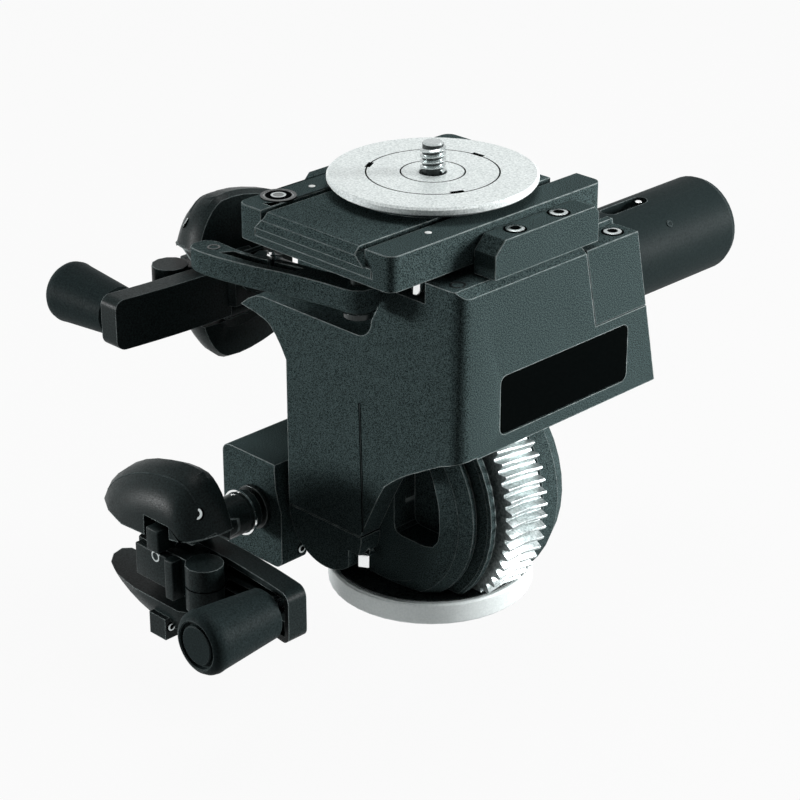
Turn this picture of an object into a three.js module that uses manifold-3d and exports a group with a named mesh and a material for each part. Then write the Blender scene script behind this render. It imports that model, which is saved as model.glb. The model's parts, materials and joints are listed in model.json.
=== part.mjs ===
// Geared tripod head: three worm drives turn, lean and nod a camera platform.
// Millimetres, +Z up. The origin is the middle of the base disc's underside.
// -Y is the user's side, +Y the side that the platform nods to.
import * as THREE from "three";
import { mergeVertices } from "three/addons/utils/BufferGeometryUtils.js";
import Module from "manifold-3d";

const wasm = await Module();
wasm.setup();

const overrun = 2; // how far a cut passes the face it opens
const fit = 0.3; // gap between pieces that touch or run in each other
const room = 1; // gap round moving pieces
const merging = 1e-4; // corners closer than this are one
const roundSides = 40;
const midSides = 24;
const smallSides = 12;
const pinSides = 8;
const arcSteps = 3;
const threadSides = 8;

// Base, fixed to the tripod
const base = { radius: 40, height: 9, bevel: 0.8, recess: 37.4, sunk: 0.9, socket: 4.9, socketDepth: 6.5 };
const spindle = { radius: 8 };
const nut = { radius: 13, height: 4.5 };

// Gears
const toothModule = 1.5;
const crestShare = 0.95; // tooth tip above the pitch line, in modules
const rootShare = 1.2; // tooth root below it
const flankSlope = Math.tan(Math.PI / 9);
const wormBacklash = 0.22;
const wheelBacklash = 0.3;
const spurBacklash = 0.5;
const panWheel = { teeth: 36, module: 1.25, width: 8, hub: 18, hubHeight: 5.5 };
const panWorm = { pitch: 7.5, length: 18, front: -22, shaft: 4 };
const sideWheel = { teeth: 65, front: -9.3, back: 10, bore: 38, throat: 0.9 };
const sideWorm = { pitch: 8.5, length: 22, shaftEnd: 22 };
const nodWheel = { teeth: 17, width: 8, inset: 12 };
const nodWorm = { pitch: 6.5, length: 20, shaft: 4 };
const pinion = { teeth: 16, width: 9.4 };
const spur = { wormTeeth: 13, driveTeeth: 18, width: 6, front: 34.4 };

// Turntable with its drum, which turns on the base. Places along Y are counted from the drum's face.
const drum = {
  face: -27.2, faceRadius: 33, rim: 38.6, rimDepth: 2.2, shoulder: 41.6, shoulderDepth: 7, shoulderEnd: 8.8,
  groove: 39.6, grooveDepth: 9.2, grooveEnd: 10.8, ring: 46, ringDepth: 11, ringEnd: 14.8, ringBevel: 1,
  shelf: 42.6, back: 26.2, floor: 4, cavity: 24.7,
};
const rearCheek = { radius: 47.5, bevel: 1, flat: 9, slant: 3.5 };
const bulge = { right: -18, above: 9.5, round: 3, inset: 5 };
const pocket = {
  left: 7.3, right: 31, bottom: -11.5, top: 27, depth: 11, round: 4, heel: 8, toe: 10, crown: 15, shoulder: 12,
};
const pivot = { radius: 7, clear: 3.8, inset: 6, back: 42.5, eye: 14, eyeGap: 1.5 };

// Gear case of the pan drive, with heights counted from its crank axis
const panAxis = { x: -56, rise: 6.1 };
const panCase = {
  left: -75, right: -41.5, inner: -45.6, front: -40.5, back: 41.5, below: 23.1, above: 21.4, round: 4, wall: 3,
  nose: 13.2, overlap: 8, tailRight: -16, tailBelow: 14.8, tailAbove: 18.4,
};

// Platform and what it carries. From here on, heights are counted from the lean axis.
const platform = {
  half: 39.3, front: -60.4, back: 49, bottom: 104, top: 117.4, round: 4,
  slot: 26.4, slotFoot: 29.8, slotFloor: 107.3, lipFoot: 2.3, lipTop: 5.9,
};
const lug = { gap: 4, width: 10, radius: 12 };
const slider = { gap: 3, front: -62.5, back: 38, rise: 0.1, footHeight: 1.8, boss: 32, bossRise: 2.5, nose: 2.6 };
const disc = { radius: 38.8, thick: 3.3, bevel: 0.7 };
const screw = { radius: 4.76, stand: 11.4, head: 8, headHeight: 3.4 };
const bubble = { x: -32.8, y: -46, radius: 5.8, depth: 4, rise: 0.5 };
const lever = {
  pivotX: 10, pivotY: -47.5, boss: 7.6, bottom: 86.5, top: 96.5, length: 70, depth: 20, pin: 3, pinDepth: 2.6,
  pinHead: 5.5, headHeight: 2.3, pocketDepth: 6,
};
const leverFrontShares = [[1.01, 0.8], [0.96, 0.98], [0.79, 0.96], [0.57, 0.81], [0.36, 0.6], [0.14, 0.44]];
const leverRearShares = [[0.2, 0], [0.43, 0.14], [0.71, 0.43], [0.93, 0.43], [1, 0.55]];
const leverPocketShares = [[0.81, 0.76], [0.57, 0.64], [0.343, 0.4], [0.343, 0.22], [0.57, 0.41], [0.77, 0.55]];

// Housing, which leans on the drum
const cheek = { gap: 0.4, width: 10.3, front: -20, back: 35, height: 14, chamfer: 5, round: 2.5 };
const cheekScrew = { radius: 3.6, headHeight: 3.1, sunk: 0.2, stem: 1.8, reach: 8, places: [-4.5, 18.5] };
const foot = { radius: 20, clear: 0.7, notch: 13, notchTop: -21 };
const footBolt = { inset: 3.2, head: 3, headHeight: 4.2, stem: 1.6, stemTop: -3 };
const house = {
  front: -37.5, wall: 10, top: 100.3, bottom: 34, hipLow: 51, hipHigh: 55, edge: 3, lobe: 14.5, lobeLength: 15,
  backLow: 71.5, backHigh: 57.2, round: 5.5, ledge: 70, ledgeDeep: 16, ledgeRight: 6, ledgeEnd: -5.6,
  ledgeCurve: 11,
};
const arch = { inset: 0.6, width: 41.6, height: 44.1, step: 47.8, stepRise: 0.7 };
const archTurnShares = [0.05, 0.855];
const beak = { length: 25, height: 22 };
const beakShares = [
  [0.508, 0], [0.72, 0], [1, 0.29], [0.48, 0.364], [0.344, 0.473], [0.16, 0.664], [0, 1],
];
const stop = { left: 17, right: 33, depth: 8, radius: 3.2 };
const label = { front: -16, back: 54, bottom: 39.2, top: 62.5, depth: 2, thick: 1.4, round: 3 };
const capBlock = { width: 12, bottom: 67, top: 98.4, frontLow: 35.4, frontHigh: 28.8 };

// Nod axis along X, at the platform's far end
const nod = { y: 49.5, z: 82, shaft: 5, leftInset: 5.5, rightInset: 4 };
const nodCase = { width: 21.7, front: 31, back: 69, bottom: 51, top: 99, round: 4, wall: 4 };
const nodKnob = { radius: 19, lobe: 1.4, lobes: 10, length: 18, stand: 6, bevel: 2, neck: 8, cap: 4 };

// Spring tube behind the housing
const tube = {
  radius: 19.8, wall: 3.8, z: 62, front: 64.2, back: 160, bulkhead: 5.5, round: 4,
  slotFront: 97, slotBack: 122, slotWidth: 7,
};
const rod = { radius: 9.5, front: 40, back: 114.5, rackWidth: 10, rackBack: 76, pistonLength: 8 };
const rackGaps = 7;
const pointer = { radius: 1.5, sunk: 0.6 };

// Crank unit, in its own frame: z away from the case, x along the crank, y up at rest
const unit = {
  shaft: 5, collarOuter: 9, collarLength: 2.4, neck: 8.2, neckBack: 4, flare: 9, flareLength: 7,
  coreBack: 24, coreFront: 52, coreLeft: -16, coreRight: 14.7, coreUp: 5.2, coreDown: -10.5, boreEnd: 5,
  barrelX: 19.5, barrelZ: 50, barrel: 7.4, barrelUp: 6.5, barrelDown: -12,
};
const wing = {
  radius: 35, long: 39, shift: 2, back: 33, front: 54, bore: 9.5, upperEdge: 10.6, lowerEdge: -17,
  hingeZ: 36, hingeLeft: -12, hingeRight: 8, hingeBite: 0.7,
};
const wingShares = [
  [0.27, 0.1], [0.6, 0], [0.96, 0.06], [1, 0.2], [0.98, 0.45], [0.91, 0.68], [0.78, 0.88], [0.6, 1], [0.27, 1],
];
const key = { left: -5.5, right: 3.7, top: 14.6, bottom: 0.6, back: 46, front: 55.5, notch: 2.6 };
const lowerKey = { top: -22.5, bottom: -31.5 };
const arm = {
  start: 15, end: 70, back: 31.5, deep: 9, bow: 4, up: 6, down: -14.8, wall: 2.6, round: 4, pocketStart: 25,
};
const grip = { inset: 10.5, radius: 12.4, waist: 10, length: 33.5, gap: 1.5, round: 3.5, edge: 1.5, pin: 3, cap: 4.5 };
const panStand = 2.8; // the pan crank stands further out, so that the two cranks pass

// Sizes worked out from the ones above
const panWheelPitch = (panWheel.teeth * panWheel.module) / 2;
const sideWheelPitch = (sideWheel.teeth * toothModule) / 2;
const nodWheelPitch = (nodWheel.teeth * toothModule) / 2;
const pinionPitch = (pinion.teeth * toothModule) / 2;
const panWheelMiddle = base.height + panWheel.hubHeight + panWheel.width / 2;
const panWormX = -(panWheelPitch + panWorm.pitch);
const panAxisZ = panWheelMiddle + panAxis.rise;
const spurDistance = Math.hypot(panAxis.x - panWormX, panAxis.rise);
const spurModule = (2 * spurDistance) / (spur.wormTeeth + spur.driveTeeth);
const floorTop = panWheelMiddle + panWheel.width / 2 + 3 * fit;
const nutBottom = floorTop + drum.floor + fit;
const spindleTop = nutBottom + nut.height;
const leanHeight = spindleTop + pivot.clear + pivot.radius;
const turntableBottom = base.height + 2 * fit;
const windowTop = panWheelMiddle + bulge.above;
const sideWheelTip = sideWheelPitch + crestShare * toothModule + sideWheel.throat;
const sideWormRise = sideWheelPitch + sideWorm.pitch;
const houseHalf = platform.half + cheek.gap + cheek.width;
const cheekInner = platform.half + cheek.gap;
const cheekMiddle = cheekInner + cheek.width / 2;
const sideCaseFace = -(houseHalf + house.lobeLength);
const footZ = base.height + foot.clear + fit + foot.radius - leanHeight;
const legLeft = -base.radius;
const legBottom = footZ + fit;
const footX = legLeft + foot.radius;
const footBoltX = footX + foot.radius - footBolt.inset;
const archLeft = footX + foot.radius - arch.inset;
const legReach = Math.hypot(footX, footZ) + foot.radius;
const footBoltY = house.front + house.wall / 2;
const capInner = houseHalf - capBlock.width;
const lugOuter = capInner - lug.gap;
const lugInner = lugOuter - lug.width;
const nodCaseRight = -(houseHalf + fit);
const nodCaseLeft = nodCaseRight - nodCase.width;
const nodWormX = nodCaseLeft + nodWheel.inset;
const nodWormZ = nod.z - nodWheelPitch - nodWorm.pitch;
const nodLeft = nodCaseLeft + nod.leftInset;
const nodRight = houseHalf - nod.rightInset;
const rackPitchLine = nod.z - pinionPitch;
const rackTip = rackPitchLine + crestShare * toothModule;
const rodTravel = (pinionPitch * Math.PI) / 2;
const beyond = tube.back + base.radius; // past every piece, for cutting a whole side away
const gripX = arm.end - grip.inset;
const gripY = (arm.up + arm.down) / 2;

// Geometry and booleans

function withSharedCorners(geometry) {
  const bare = geometry.clone();
  for (const name of ["normal", "uv"]) bare.deleteAttribute(name);
  return mergeVertices(bare, merging);
}

function solid(geometry) {
  const merged = withSharedCorners(geometry);
  const mesh = new wasm.Mesh({
    numProp: 3,
    vertProperties: new Float32Array(merged.attributes.position.array),
    triVerts: new Uint32Array(merged.index.array),
  });
  return new wasm.Manifold(mesh);
}

function geometryOf(made) {
  const mesh = made.getMesh();
  const geometry = new THREE.BufferGeometry();
  geometry.setAttribute("position", new THREE.BufferAttribute(mesh.vertProperties, 3));
  geometry.setIndex(new THREE.BufferAttribute(mesh.triVerts, 1));
  return geometry;
}

function join(...shapes) {
  return geometryOf(shapes.map(solid).reduce((sum, shape) => sum.add(shape)));
}

function cut(body, ...tools) {
  return geometryOf(tools.map(solid).reduce((rest, tool) => rest.subtract(tool), solid(body)));
}

function block(x0, x1, y0, y1, z0, z1) {
  const box = new THREE.BoxGeometry(x1 - x0, y1 - y0, z1 - z0);
  return box.translate((x0 + x1) / 2, (y0 + y1) / 2, (z0 + z1) / 2);
}

// A round bar along an axis, from one place on it to another.
function bar(axis, radius, from, to, a, b, sides = roundSides) {
  const made = new THREE.CylinderGeometry(radius, radius, to - from, sides);
  return alongAxis(made.translate(0, (from + to) / 2, 0), axis).translate(...acrossAxis(axis, a, b));
}

// Turns a shape built along Y so that it lies along another axis, its growing side kept.
function alongAxis(made, axis) {
  if (axis === "x") return made.rotateZ(-Math.PI / 2);
  if (axis === "z") return made.rotateX(Math.PI / 2);
  return made;
}

function acrossAxis(axis, a, b) {
  if (axis === "x") return [0, a, b];
  if (axis === "z") return [a, b, 0];
  return [a, 0, b];
}

// A turned piece: points are [radius, place along the axis], from one end face to the other.
function turned(points, axis, a = 0, b = 0, sides = roundSides) {
  const profile = points.map(([radius, place]) => new THREE.Vector2(radius, place));
  const made = facingOut(new THREE.LatheGeometry(profile, sides));
  return alongAxis(made, axis).translate(...acrossAxis(axis, a, b));
}

// The points of a rounded or, with one step, a bevelled end of a turned piece.
function roundedEnd(radius, end, round, steps) {
  return Array.from({ length: steps + 1 }, (_, index) => {
    const angle = (index * Math.PI) / (2 * steps);
    return [radius - Math.abs(round) * (1 - Math.cos(angle)), end - round * (1 - Math.sin(angle))];
  });
}

// Reverses a closed geometry whose faces point inwards.
function facingOut(geometry) {
  const merged = withSharedCorners(geometry);
  const place = merged.attributes.position;
  const order = merged.index.array;
  const corner = [new THREE.Vector3(), new THREE.Vector3(), new THREE.Vector3()];
  let volume = 0;
  for (let i = 0; i < order.length; i += 3) {
    corner.forEach((point, j) => point.fromBufferAttribute(place, order[i + j]));
    volume += corner[0].dot(corner[1].clone().cross(corner[2]));
  }
  if (volume > 0) return merged;
  for (let i = 0; i < order.length; i += 3) {
    [order[i], order[i + 1]] = [order[i + 1], order[i]];
  }
  return merged;
}

// An outline in the plane across an axis, pushed along it from one place to another.
function pushed(shape, axis, from, to, options = {}) {
  const made = new THREE.ExtrudeGeometry(shape, {
    depth: to - from, bevelEnabled: false, curveSegments: arcSteps, steps: 1, ...options,
  });
  made.translate(0, 0, from);
  if (axis === "y") {
    const turn = new THREE.Matrix4().set(1, 0, 0, 0, 0, 0, 1, 0, 0, 1, 0, 0, 0, 0, 0, 1);
    return facingOut(made.applyMatrix4(turn));
  }
  if (axis === "x") return facingOut(made.applyMatrix4(zToX));
  return facingOut(made);
}

const zToX = new THREE.Matrix4().set(0, 0, 1, 0, 1, 0, 0, 0, 0, 1, 0, 0, 0, 0, 0, 1);

function outline(points) {
  return new THREE.Shape(points.map(([a, b]) => new THREE.Vector2(a, b)));
}

function roundedOutline(a0, a1, b0, b1, round) {
  const shape = new THREE.Shape();
  shape.absarc(a1 - round, b0 + round, round, -Math.PI / 2, 0, false);
  shape.absarc(a1 - round, b1 - round, round, 0, Math.PI / 2, false);
  shape.absarc(a0 + round, b1 - round, round, Math.PI / 2, Math.PI, false);
  shape.absarc(a0 + round, b0 + round, round, Math.PI, 1.5 * Math.PI, false);
  return shape;
}

// Teeth

// The outline of a gear with straight-flanked teeth, one of them centred on the first angle.
function gearOutline(teeth, module, bore, backlash, firstAngle) {
  const pitch = (teeth * module) / 2;
  const halfTooth = (Math.PI * module) / 4 - backlash / 2;
  const root = [pitch - rootShare * module, halfTooth + rootShare * module * flankSlope];
  const tip = [pitch + crestShare * module, halfTooth - crestShare * module * flankSlope];
  const points = [];
  for (let tooth = 0; tooth < teeth; tooth += 1) {
    const middle = firstAngle + (tooth * 2 * Math.PI) / teeth;
    for (const [[radius, half], sign] of [[root, -1], [tip, -1], [tip, 1], [root, 1]]) {
      const angle = middle + (sign * half) / radius;
      points.push([radius * Math.cos(angle), radius * Math.sin(angle)]);
    }
  }
  const shape = outline(points);
  if (bore > 0) {
    const hole = new THREE.Path();
    hole.absarc(0, 0, bore, 0, 2 * Math.PI, true);
    shape.holes.push(hole);
  }
  return shape;
}

// A worm wheel: its teeth lean with the worm's thread and swell towards both faces.
function wormWheel(teeth, module, width, bore, firstAngle, wormPitch, throat) {
  const shape = gearOutline(teeth, module, bore, wheelBacklash, firstAngle);
  const curved = throat > 0;
  const made = new THREE.ExtrudeGeometry(shape, {
    depth: width, steps: curved ? 2 : 1, bevelEnabled: false, curveSegments: curved ? roundSides : smallSides,
  });
  made.translate(0, 0, -width / 2);
  const pitch = (teeth * module) / 2;
  const lean = module / (2 * wormPitch * pitch);
  const place = made.attributes.position;
  for (let i = 0; i < place.count; i += 1) {
    const [x, y, z] = [place.getX(i), place.getY(i), place.getZ(i)];
    const radius = Math.hypot(x, y);
    if (radius < bore + module / 2) continue;
    const share = (2 * z) / width;
    const swell = 1 + (throat * share * share) / radius;
    const angle = Math.atan2(y, x) + lean * z;
    place.setXY(i, swell * radius * Math.cos(angle), swell * radius * Math.sin(angle));
  }
  return made;
}

// A worm along Z with one right-handed thread; a thread crest crosses angle 0 at z = 0.
function worm(pitchRadius, module, length, shaftRadius, shaftFrom, shaftTo) {
  const lead = Math.PI * module;
  const root = pitchRadius - rootShare * module;
  const crest = pitchRadius + crestShare * module;
  const sunk = root - module / 2;
  const halfPitch = lead / 4 - wormBacklash / 2;
  const halfCrest = halfPitch - crestShare * module * flankSlope;
  const halfSunk = halfPitch + (pitchRadius - sunk) * flankSlope;
  const section = [[sunk, -halfSunk], [crest, -halfCrest], [crest, halfCrest], [sunk, halfSunk]];
  const turns = length / lead - 1;
  const steps = Math.round(turns * threadSides);
  const places = [];
  const order = [];
  for (let i = 0; i <= steps; i += 1) {
    const angle = (i / steps - 0.5) * turns * 2 * Math.PI;
    for (const [radius, offset] of section) {
      const z = (lead * angle) / (2 * Math.PI) + offset;
      places.push(radius * Math.cos(angle), radius * Math.sin(angle), z);
    }
  }
  for (let i = 0; i < steps; i += 1) {
    for (let j = 0; j < 4; j += 1) {
      const [a, b] = [4 * i + j, 4 * i + ((j + 1) % 4)];
      order.push(a, b, b + 4, a, b + 4, a + 4);
    }
  }
  const last = 4 * steps;
  order.push(0, 2, 1, 0, 3, 2, last, last + 1, last + 2, last, last + 2, last + 3);
  const thread = new THREE.BufferGeometry();
  thread.setAttribute("position", new THREE.Float32BufferAttribute(places, 3));
  thread.setIndex(order);
  const core = bar("z", root, -length / 2, length / 2, 0, 0, smallSides);
  const shaft = bar("z", shaftRadius, shaftFrom, shaftTo, 0, 0, smallSides);
  return join(core, shaft, facingOut(thread));
}

// Pieces

const pieces = new THREE.Group();
const leaning = new THREE.Group();
leaning.position.z = leanHeight;
pieces.add(leaning);

const colours = {
  casting: [0x2c3032, 0.75, 0.1], gloss: [0x121314, 0.35, 0], silver: [0xd6d8d6, 0.35, 0.8],
  steel: [0xa8abad, 0.3, 1], chrome: [0xe4e6e8, 0.12, 1], plate: [0x0b0b0c, 0.4, 0],
  gear: [0xc4c7c6, 0.35, 0.9], brass: [0xb59a55, 0.4, 0.9], glass: [0x9fb8a2, 0.1, 0],
};

function add(group, name, geometry, finish) {
  const [color, roughness, metalness] = colours[finish];
  const material = new THREE.MeshStandardMaterial({ color, roughness, metalness });
  const mesh = new THREE.Mesh(geometry, material);
  mesh.name = name;
  group.add(mesh);
}

function buildBase() {
  const { radius, height, bevel, recess, sunk, socket, socketDepth } = base;
  const body = turned(
    [[0, 0], ...roundedEnd(radius, 0, -bevel, 1).reverse(), ...roundedEnd(radius, height, bevel, 1), [0, height]],
    "z",
  );
  const hole = bar("z", socket, -overrun, socketDepth, 0, 0, smallSides);
  const seat = bar("z", recess + fit, height - sunk, height + overrun, 0, 0);
  add(pieces, "base_disc", cut(body, hole, seat), "silver");
  add(pieces, "base_plate", bar("z", recess, height - sunk + fit, height, 0, 0), "casting");
  add(pieces, "pan_spindle", bar("z", spindle.radius, height + fit, spindleTop, 0, 0, smallSides), "steel");
  const ring = bar("z", nut.radius, nutBottom, spindleTop, 0, 0, 6);
  const bore = bar("z", spindle.radius + fit, nutBottom - overrun, spindleTop + overrun, 0, 0, smallSides);
  add(pieces, "pan_retaining_nut", cut(ring, bore), "steel");
}

function buildPanWheel() {
  const { teeth, module, width, hub } = panWheel;
  const bore = spindle.radius + fit;
  const ring = wormWheel(teeth, module, width, bore, Math.PI + Math.PI / teeth, panWorm.pitch, 0);
  ring.translate(0, 0, panWheelMiddle);
  const bottom = panWheelMiddle - width / 2;
  const boss = bar("z", hub, base.height + fit, bottom + fit, 0, 0, midSides);
  const through = bar("z", bore, base.height - overrun, bottom + overrun, 0, 0, smallSides);
  add(pieces, "pan_worm_wheel", join(cut(boss, through), ring), "brass");
}

// The drum's section, as points of [radius, place along Y].
function drumSection() {
  const { face, faceRadius, rim, rimDepth, shoulder, shoulderDepth, shoulderEnd, groove, grooveDepth } = drum;
  const { grooveEnd, ring, ringDepth, ringEnd, ringBevel, shelf } = drum;
  const seat = sideWheel.bore - fit;
  return [
    [0, face], [faceRadius, face], [rim, face + rimDepth], [shoulder, face + shoulderDepth],
    [shoulder, face + shoulderEnd], [groove, face + grooveDepth], [groove, face + grooveEnd],
    [ring - ringBevel, face + ringDepth], [ring, face + ringDepth + ringBevel],
    [ring, face + ringEnd - fit], [shelf, face + ringEnd], [shelf, sideWheel.front - fit],
    [seat, sideWheel.front - fit], [seat, sideWheel.back + fit], [0, sideWheel.back + fit],
  ];
}

function pocketOutline() {
  const { left, right, bottom, top, round, heel, toe, crown, shoulder } = pocket;
  const shape = new THREE.Shape();
  shape.moveTo(left, bottom + round);
  shape.quadraticCurveTo(left, bottom, left + round, bottom);
  shape.lineTo(right - heel, bottom);
  shape.quadraticCurveTo(right, bottom, right, bottom + toe);
  shape.quadraticCurveTo(right + room, shoulder, left + crown, top);
  shape.lineTo(left, top);
  return shape;
}

function belowTurntable() {
  return block(-beyond, beyond, -beyond, beyond, -beyond, turntableBottom);
}

// The round cavity over the pan wheel.
function wheelCavity(clearance) {
  return bar("z", drum.cavity + clearance, -overrun, floorTop + clearance, 0, 0);
}

function nutRoom() {
  return bar("z", nut.radius + room, floorTop + drum.floor, spindleTop + 2 * fit, 0, 0, smallSides);
}

function pivotHole() {
  return bar("y", pivot.radius + fit, drum.face + pivot.inset, drum.back + overrun, 0, leanHeight, midSides);
}

function buildTurntable() {
  const body = turned(drumSection(), "y", 0, leanHeight);
  const side = pushed(
    roundedOutline(panCase.inner + fit, bulge.right, turntableBottom, windowTop, bulge.round), "y",
    drum.face + bulge.inset, drum.back,
  );
  const bearing = bar("z", spindle.radius + fit, turntableBottom, spindleTop, 0, 0, smallSides);
  const wormShaftHole = bar("y", panWorm.shaft + room, panWorm.front - overrun, drum.back + overrun, panWormX,
    panWheelMiddle, smallSides);
  const wormEnd = panWorm.length / 2 + room;
  const wormBay = bar("y", panWorm.pitch + panWheel.module + fit, -wormEnd, wormEnd, panWormX, panWheelMiddle,
    smallSides);
  const recess = pushed(pocketOutline(), "y", drum.face - overrun, drum.face + pocket.depth)
    .translate(0, 0, leanHeight);
  const casting = cut(
    join(body, side), belowTurntable(), wheelCavity(0), bearing, nutRoom(), pivotHole(), wormShaftHole,
    wormBay, recess, sideWheelRoom(),
  );
  add(pieces, "turntable", casting, "casting");

  const { teeth, front, back, bore, throat } = sideWheel;
  const firstAngle = Math.PI / 2 + Math.PI / teeth;
  const ringGear = wormWheel(teeth, toothModule, back - front, bore, firstAngle, sideWorm.pitch, throat);
  ringGear.rotateX(Math.PI / 2);
  ringGear.translate(0, (front + back) / 2, leanHeight);
  const window = block(-beyond, 0, -beyond, beyond, -beyond, windowTop + fit);
  add(pieces, "side_worm_wheel", cut(ringGear, belowTurntable(), window, wheelCavity(fit)), "gear");

  const start = back + 2 * fit;
  const { radius, bevel, flat, slant } = rearCheek;
  const plate = turned(
    [[0, start], ...roundedEnd(radius, start, -bevel, 1).reverse(), [radius, start + flat],
      [radius - slant, drum.back], [0, drum.back]],
    "y", 0, leanHeight,
  );
  const gearRoom = block(panCase.left, bulge.right + fit, -beyond, beyond, -beyond, windowTop + fit);
  const rear = cut(plate, belowTurntable(), gearRoom, wheelCavity(fit), pivotHole(), nutRoom());
  add(pieces, "rear_cheek", rear, "casting");
  const shaft = bar("y", pivot.radius, drum.face + pivot.inset + fit, pivot.back, 0, leanHeight, midSides);
  add(pieces, "pivot_shaft", shaft, "steel");
}

// Room that the tooth ring needs beside the bulge of the casting.
function sideWheelRoom() {
  const { front, back, bore } = sideWheel;
  const ring = cut(
    bar("y", sideWheelTip + room, front - fit, back + fit, 0, leanHeight),
    bar("y", bore - fit, front - overrun, back + overrun, 0, leanHeight),
  );
  return cut(ring, block(-beyond, fit, -beyond, beyond, -beyond, windowTop));
}

// What the drum and the leaning leg sweep beside the gear case.
function drumSweep() {
  const { front, back } = panCase;
  const legEnd = house.front + house.wall + room;
  const toothFront = sideWheel.front - room;
  const toothBack = sideWheel.back + room;
  const body = turned(
    [[0, front - overrun], [legReach + room, front - overrun], [legReach + room, legEnd],
      [drum.ring + room, legEnd], [drum.ring + room, toothFront], [sideWheelTip + room, toothFront],
      [sideWheelTip + room, toothBack], [rearCheek.radius + room, toothBack],
      [rearCheek.radius + room, back + overrun], [0, back + overrun]],
    "y", 0, leanHeight,
  );
  return cut(
    body, block(-beyond, beyond, drum.back, beyond, -beyond, beyond),
    block(-beyond, beyond, legEnd, beyond, -beyond, windowTop + fit),
  );
}

function spurGear(teeth, bore, firstAngle, x, z) {
  const shape = gearOutline(teeth, spurModule, bore, spurBacklash, firstAngle);
  return pushed(shape, "y", spur.front, spur.front + spur.width, { curveSegments: smallSides })
    .translate(x, 0, z);
}

function buildPanDrive() {
  const { left, right, inner, front, back, below, above, round, wall, nose, overlap } = panCase;
  const [bottom, top] = [panAxisZ - below, panAxisZ + above];
  const mainShape = roundedOutline(left, inner, bottom, top, round);
  const noseShape = roundedOutline(inner - overlap, right, bottom, top, round);
  const tailShape = roundedOutline(inner - overlap, panCase.tailRight, panAxisZ - panCase.tailBelow,
    panAxisZ + panCase.tailAbove, round);
  const body = join(
    pushed(mainShape, "y", front, back), pushed(noseShape, "y", front, front + nose),
    pushed(tailShape, "y", drum.back + fit, back),
  );
  const gearRoom = (teeth, x, z) => bar(
    "y", (teeth / 2 + 1) * spurModule + room, spur.front - 2 * fit, back + overrun, x, z, midSides,
  );
  const rooms = [
    drumSweep(), gearRoom(spur.driveTeeth, panAxis.x, panAxisZ),
    gearRoom(spur.wormTeeth, panWormX, panWheelMiddle),
    bar("y", unit.shaft + fit, front - overrun, back, panAxis.x, panAxisZ, smallSides),
    bar("y", panWorm.shaft + room, drum.back, back, panWormX, panWheelMiddle, smallSides),
  ];
  add(pieces, "pan_gear_case", cut(body, ...rooms), "casting");
  const lid = pushed(mainShape, "y", back + fit, back + wall);
  add(pieces, "pan_case_cover", join(lid, pushed(tailShape, "y", back + fit, back + wall)), "casting");

  const towards = Math.atan2(panWheelMiddle - panAxisZ, panWormX - panAxis.x);
  const turning = worm(panWorm.pitch, panWheel.module, panWorm.length, panWorm.shaft, panWorm.front,
    spur.front + spur.width);
  turning.rotateX(-Math.PI / 2);
  turning.translate(panWormX, 0, panWheelMiddle);
  const followAngle = Math.PI + towards + Math.PI / spur.wormTeeth;
  const follower = spurGear(spur.wormTeeth, 0, followAngle, panWormX, panWheelMiddle);
  add(pieces, "pan_worm", join(turning, follower), "steel");
  const driver = spurGear(spur.driveTeeth, unit.shaft + fit, towards, panAxis.x, panAxisZ);
  add(pieces, "pan_drive_gear", driver, "gear");
}

// Housing, in the frame of the lean axis

function frontWallOutline() {
  const { top, bottom, edge, ledge, ledgeEnd, ledgeCurve } = house;
  const shape = new THREE.Shape();
  const [turnX, turnZ] = archTurnShares;
  shape.moveTo(legLeft, legBottom);
  shape.lineTo(archLeft, legBottom);
  shape.quadraticCurveTo(
    archLeft + turnX * arch.width, legBottom + turnZ * arch.height, archLeft + arch.width,
    legBottom + arch.height,
  );
  shape.lineTo(arch.step, bottom);
  shape.lineTo(houseHalf, bottom + arch.stepRise);
  shape.lineTo(houseHalf, top - edge);
  shape.lineTo(houseHalf - edge, top);
  shape.lineTo(stop.right, top);
  shape.lineTo(stop.right, top - stop.depth);
  shape.lineTo(stop.left, top - stop.depth);
  shape.lineTo(stop.left, top);
  shape.lineTo(ledgeCurve, top);
  shape.quadraticCurveTo(ledgeCurve, ledge, ledgeEnd, ledge);
  const places = beakShares.map(([along, down]) => [legLeft - along * beak.length, ledge - down * beak.height]);
  shape.lineTo(...places[0]);
  shape.quadraticCurveTo(...places[1], ...places[2]);
  shape.quadraticCurveTo(...places[3], ...places[4]);
  shape.quadraticCurveTo(...places[5], ...places[6]);
  return shape;
}

function bodyOutline() {
  const { top, bottom, hipLow, hipHigh, edge } = house;
  return outline([
    [legLeft, bottom], [legLeft, hipLow], [-houseHalf, hipHigh], [-houseHalf, top], [houseHalf - edge, top],
    [houseHalf, top - edge], [houseHalf, bottom],
  ]);
}

// The slanted back of the housing: everything behind it, seen along X.
function behindBack() {
  const { top, bottom, backLow, backHigh } = house;
  const slope = (backHigh - backLow) / (top - bottom);
  const behind = outline([
    [backLow, bottom - overrun], [beyond, bottom - overrun], [beyond, top + overrun],
    [backHigh + slope * overrun, top + overrun],
  ]);
  return pushed(behind, "x", -beyond, beyond);
}

// The room that the drum, its teeth and the rear cheek need under the housing.
function saddle() {
  const from = house.front + house.wall;
  const to = drum.back + pivot.eyeGap - fit;
  const toothFront = sideWheel.front - overrun;
  const toothBack = sideWheel.back + room;
  const [ringRoom, toothRoom, cheekRoom] = [drum.ring + overrun, sideWheelTip + room, rearCheek.radius + room];
  return turned(
    [[0, from], [ringRoom, from], [ringRoom, toothFront], [toothRoom, toothFront], [toothRoom, toothBack],
      [cheekRoom, toothBack], [cheekRoom, to], [0, to]],
    "y",
  );
}

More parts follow.
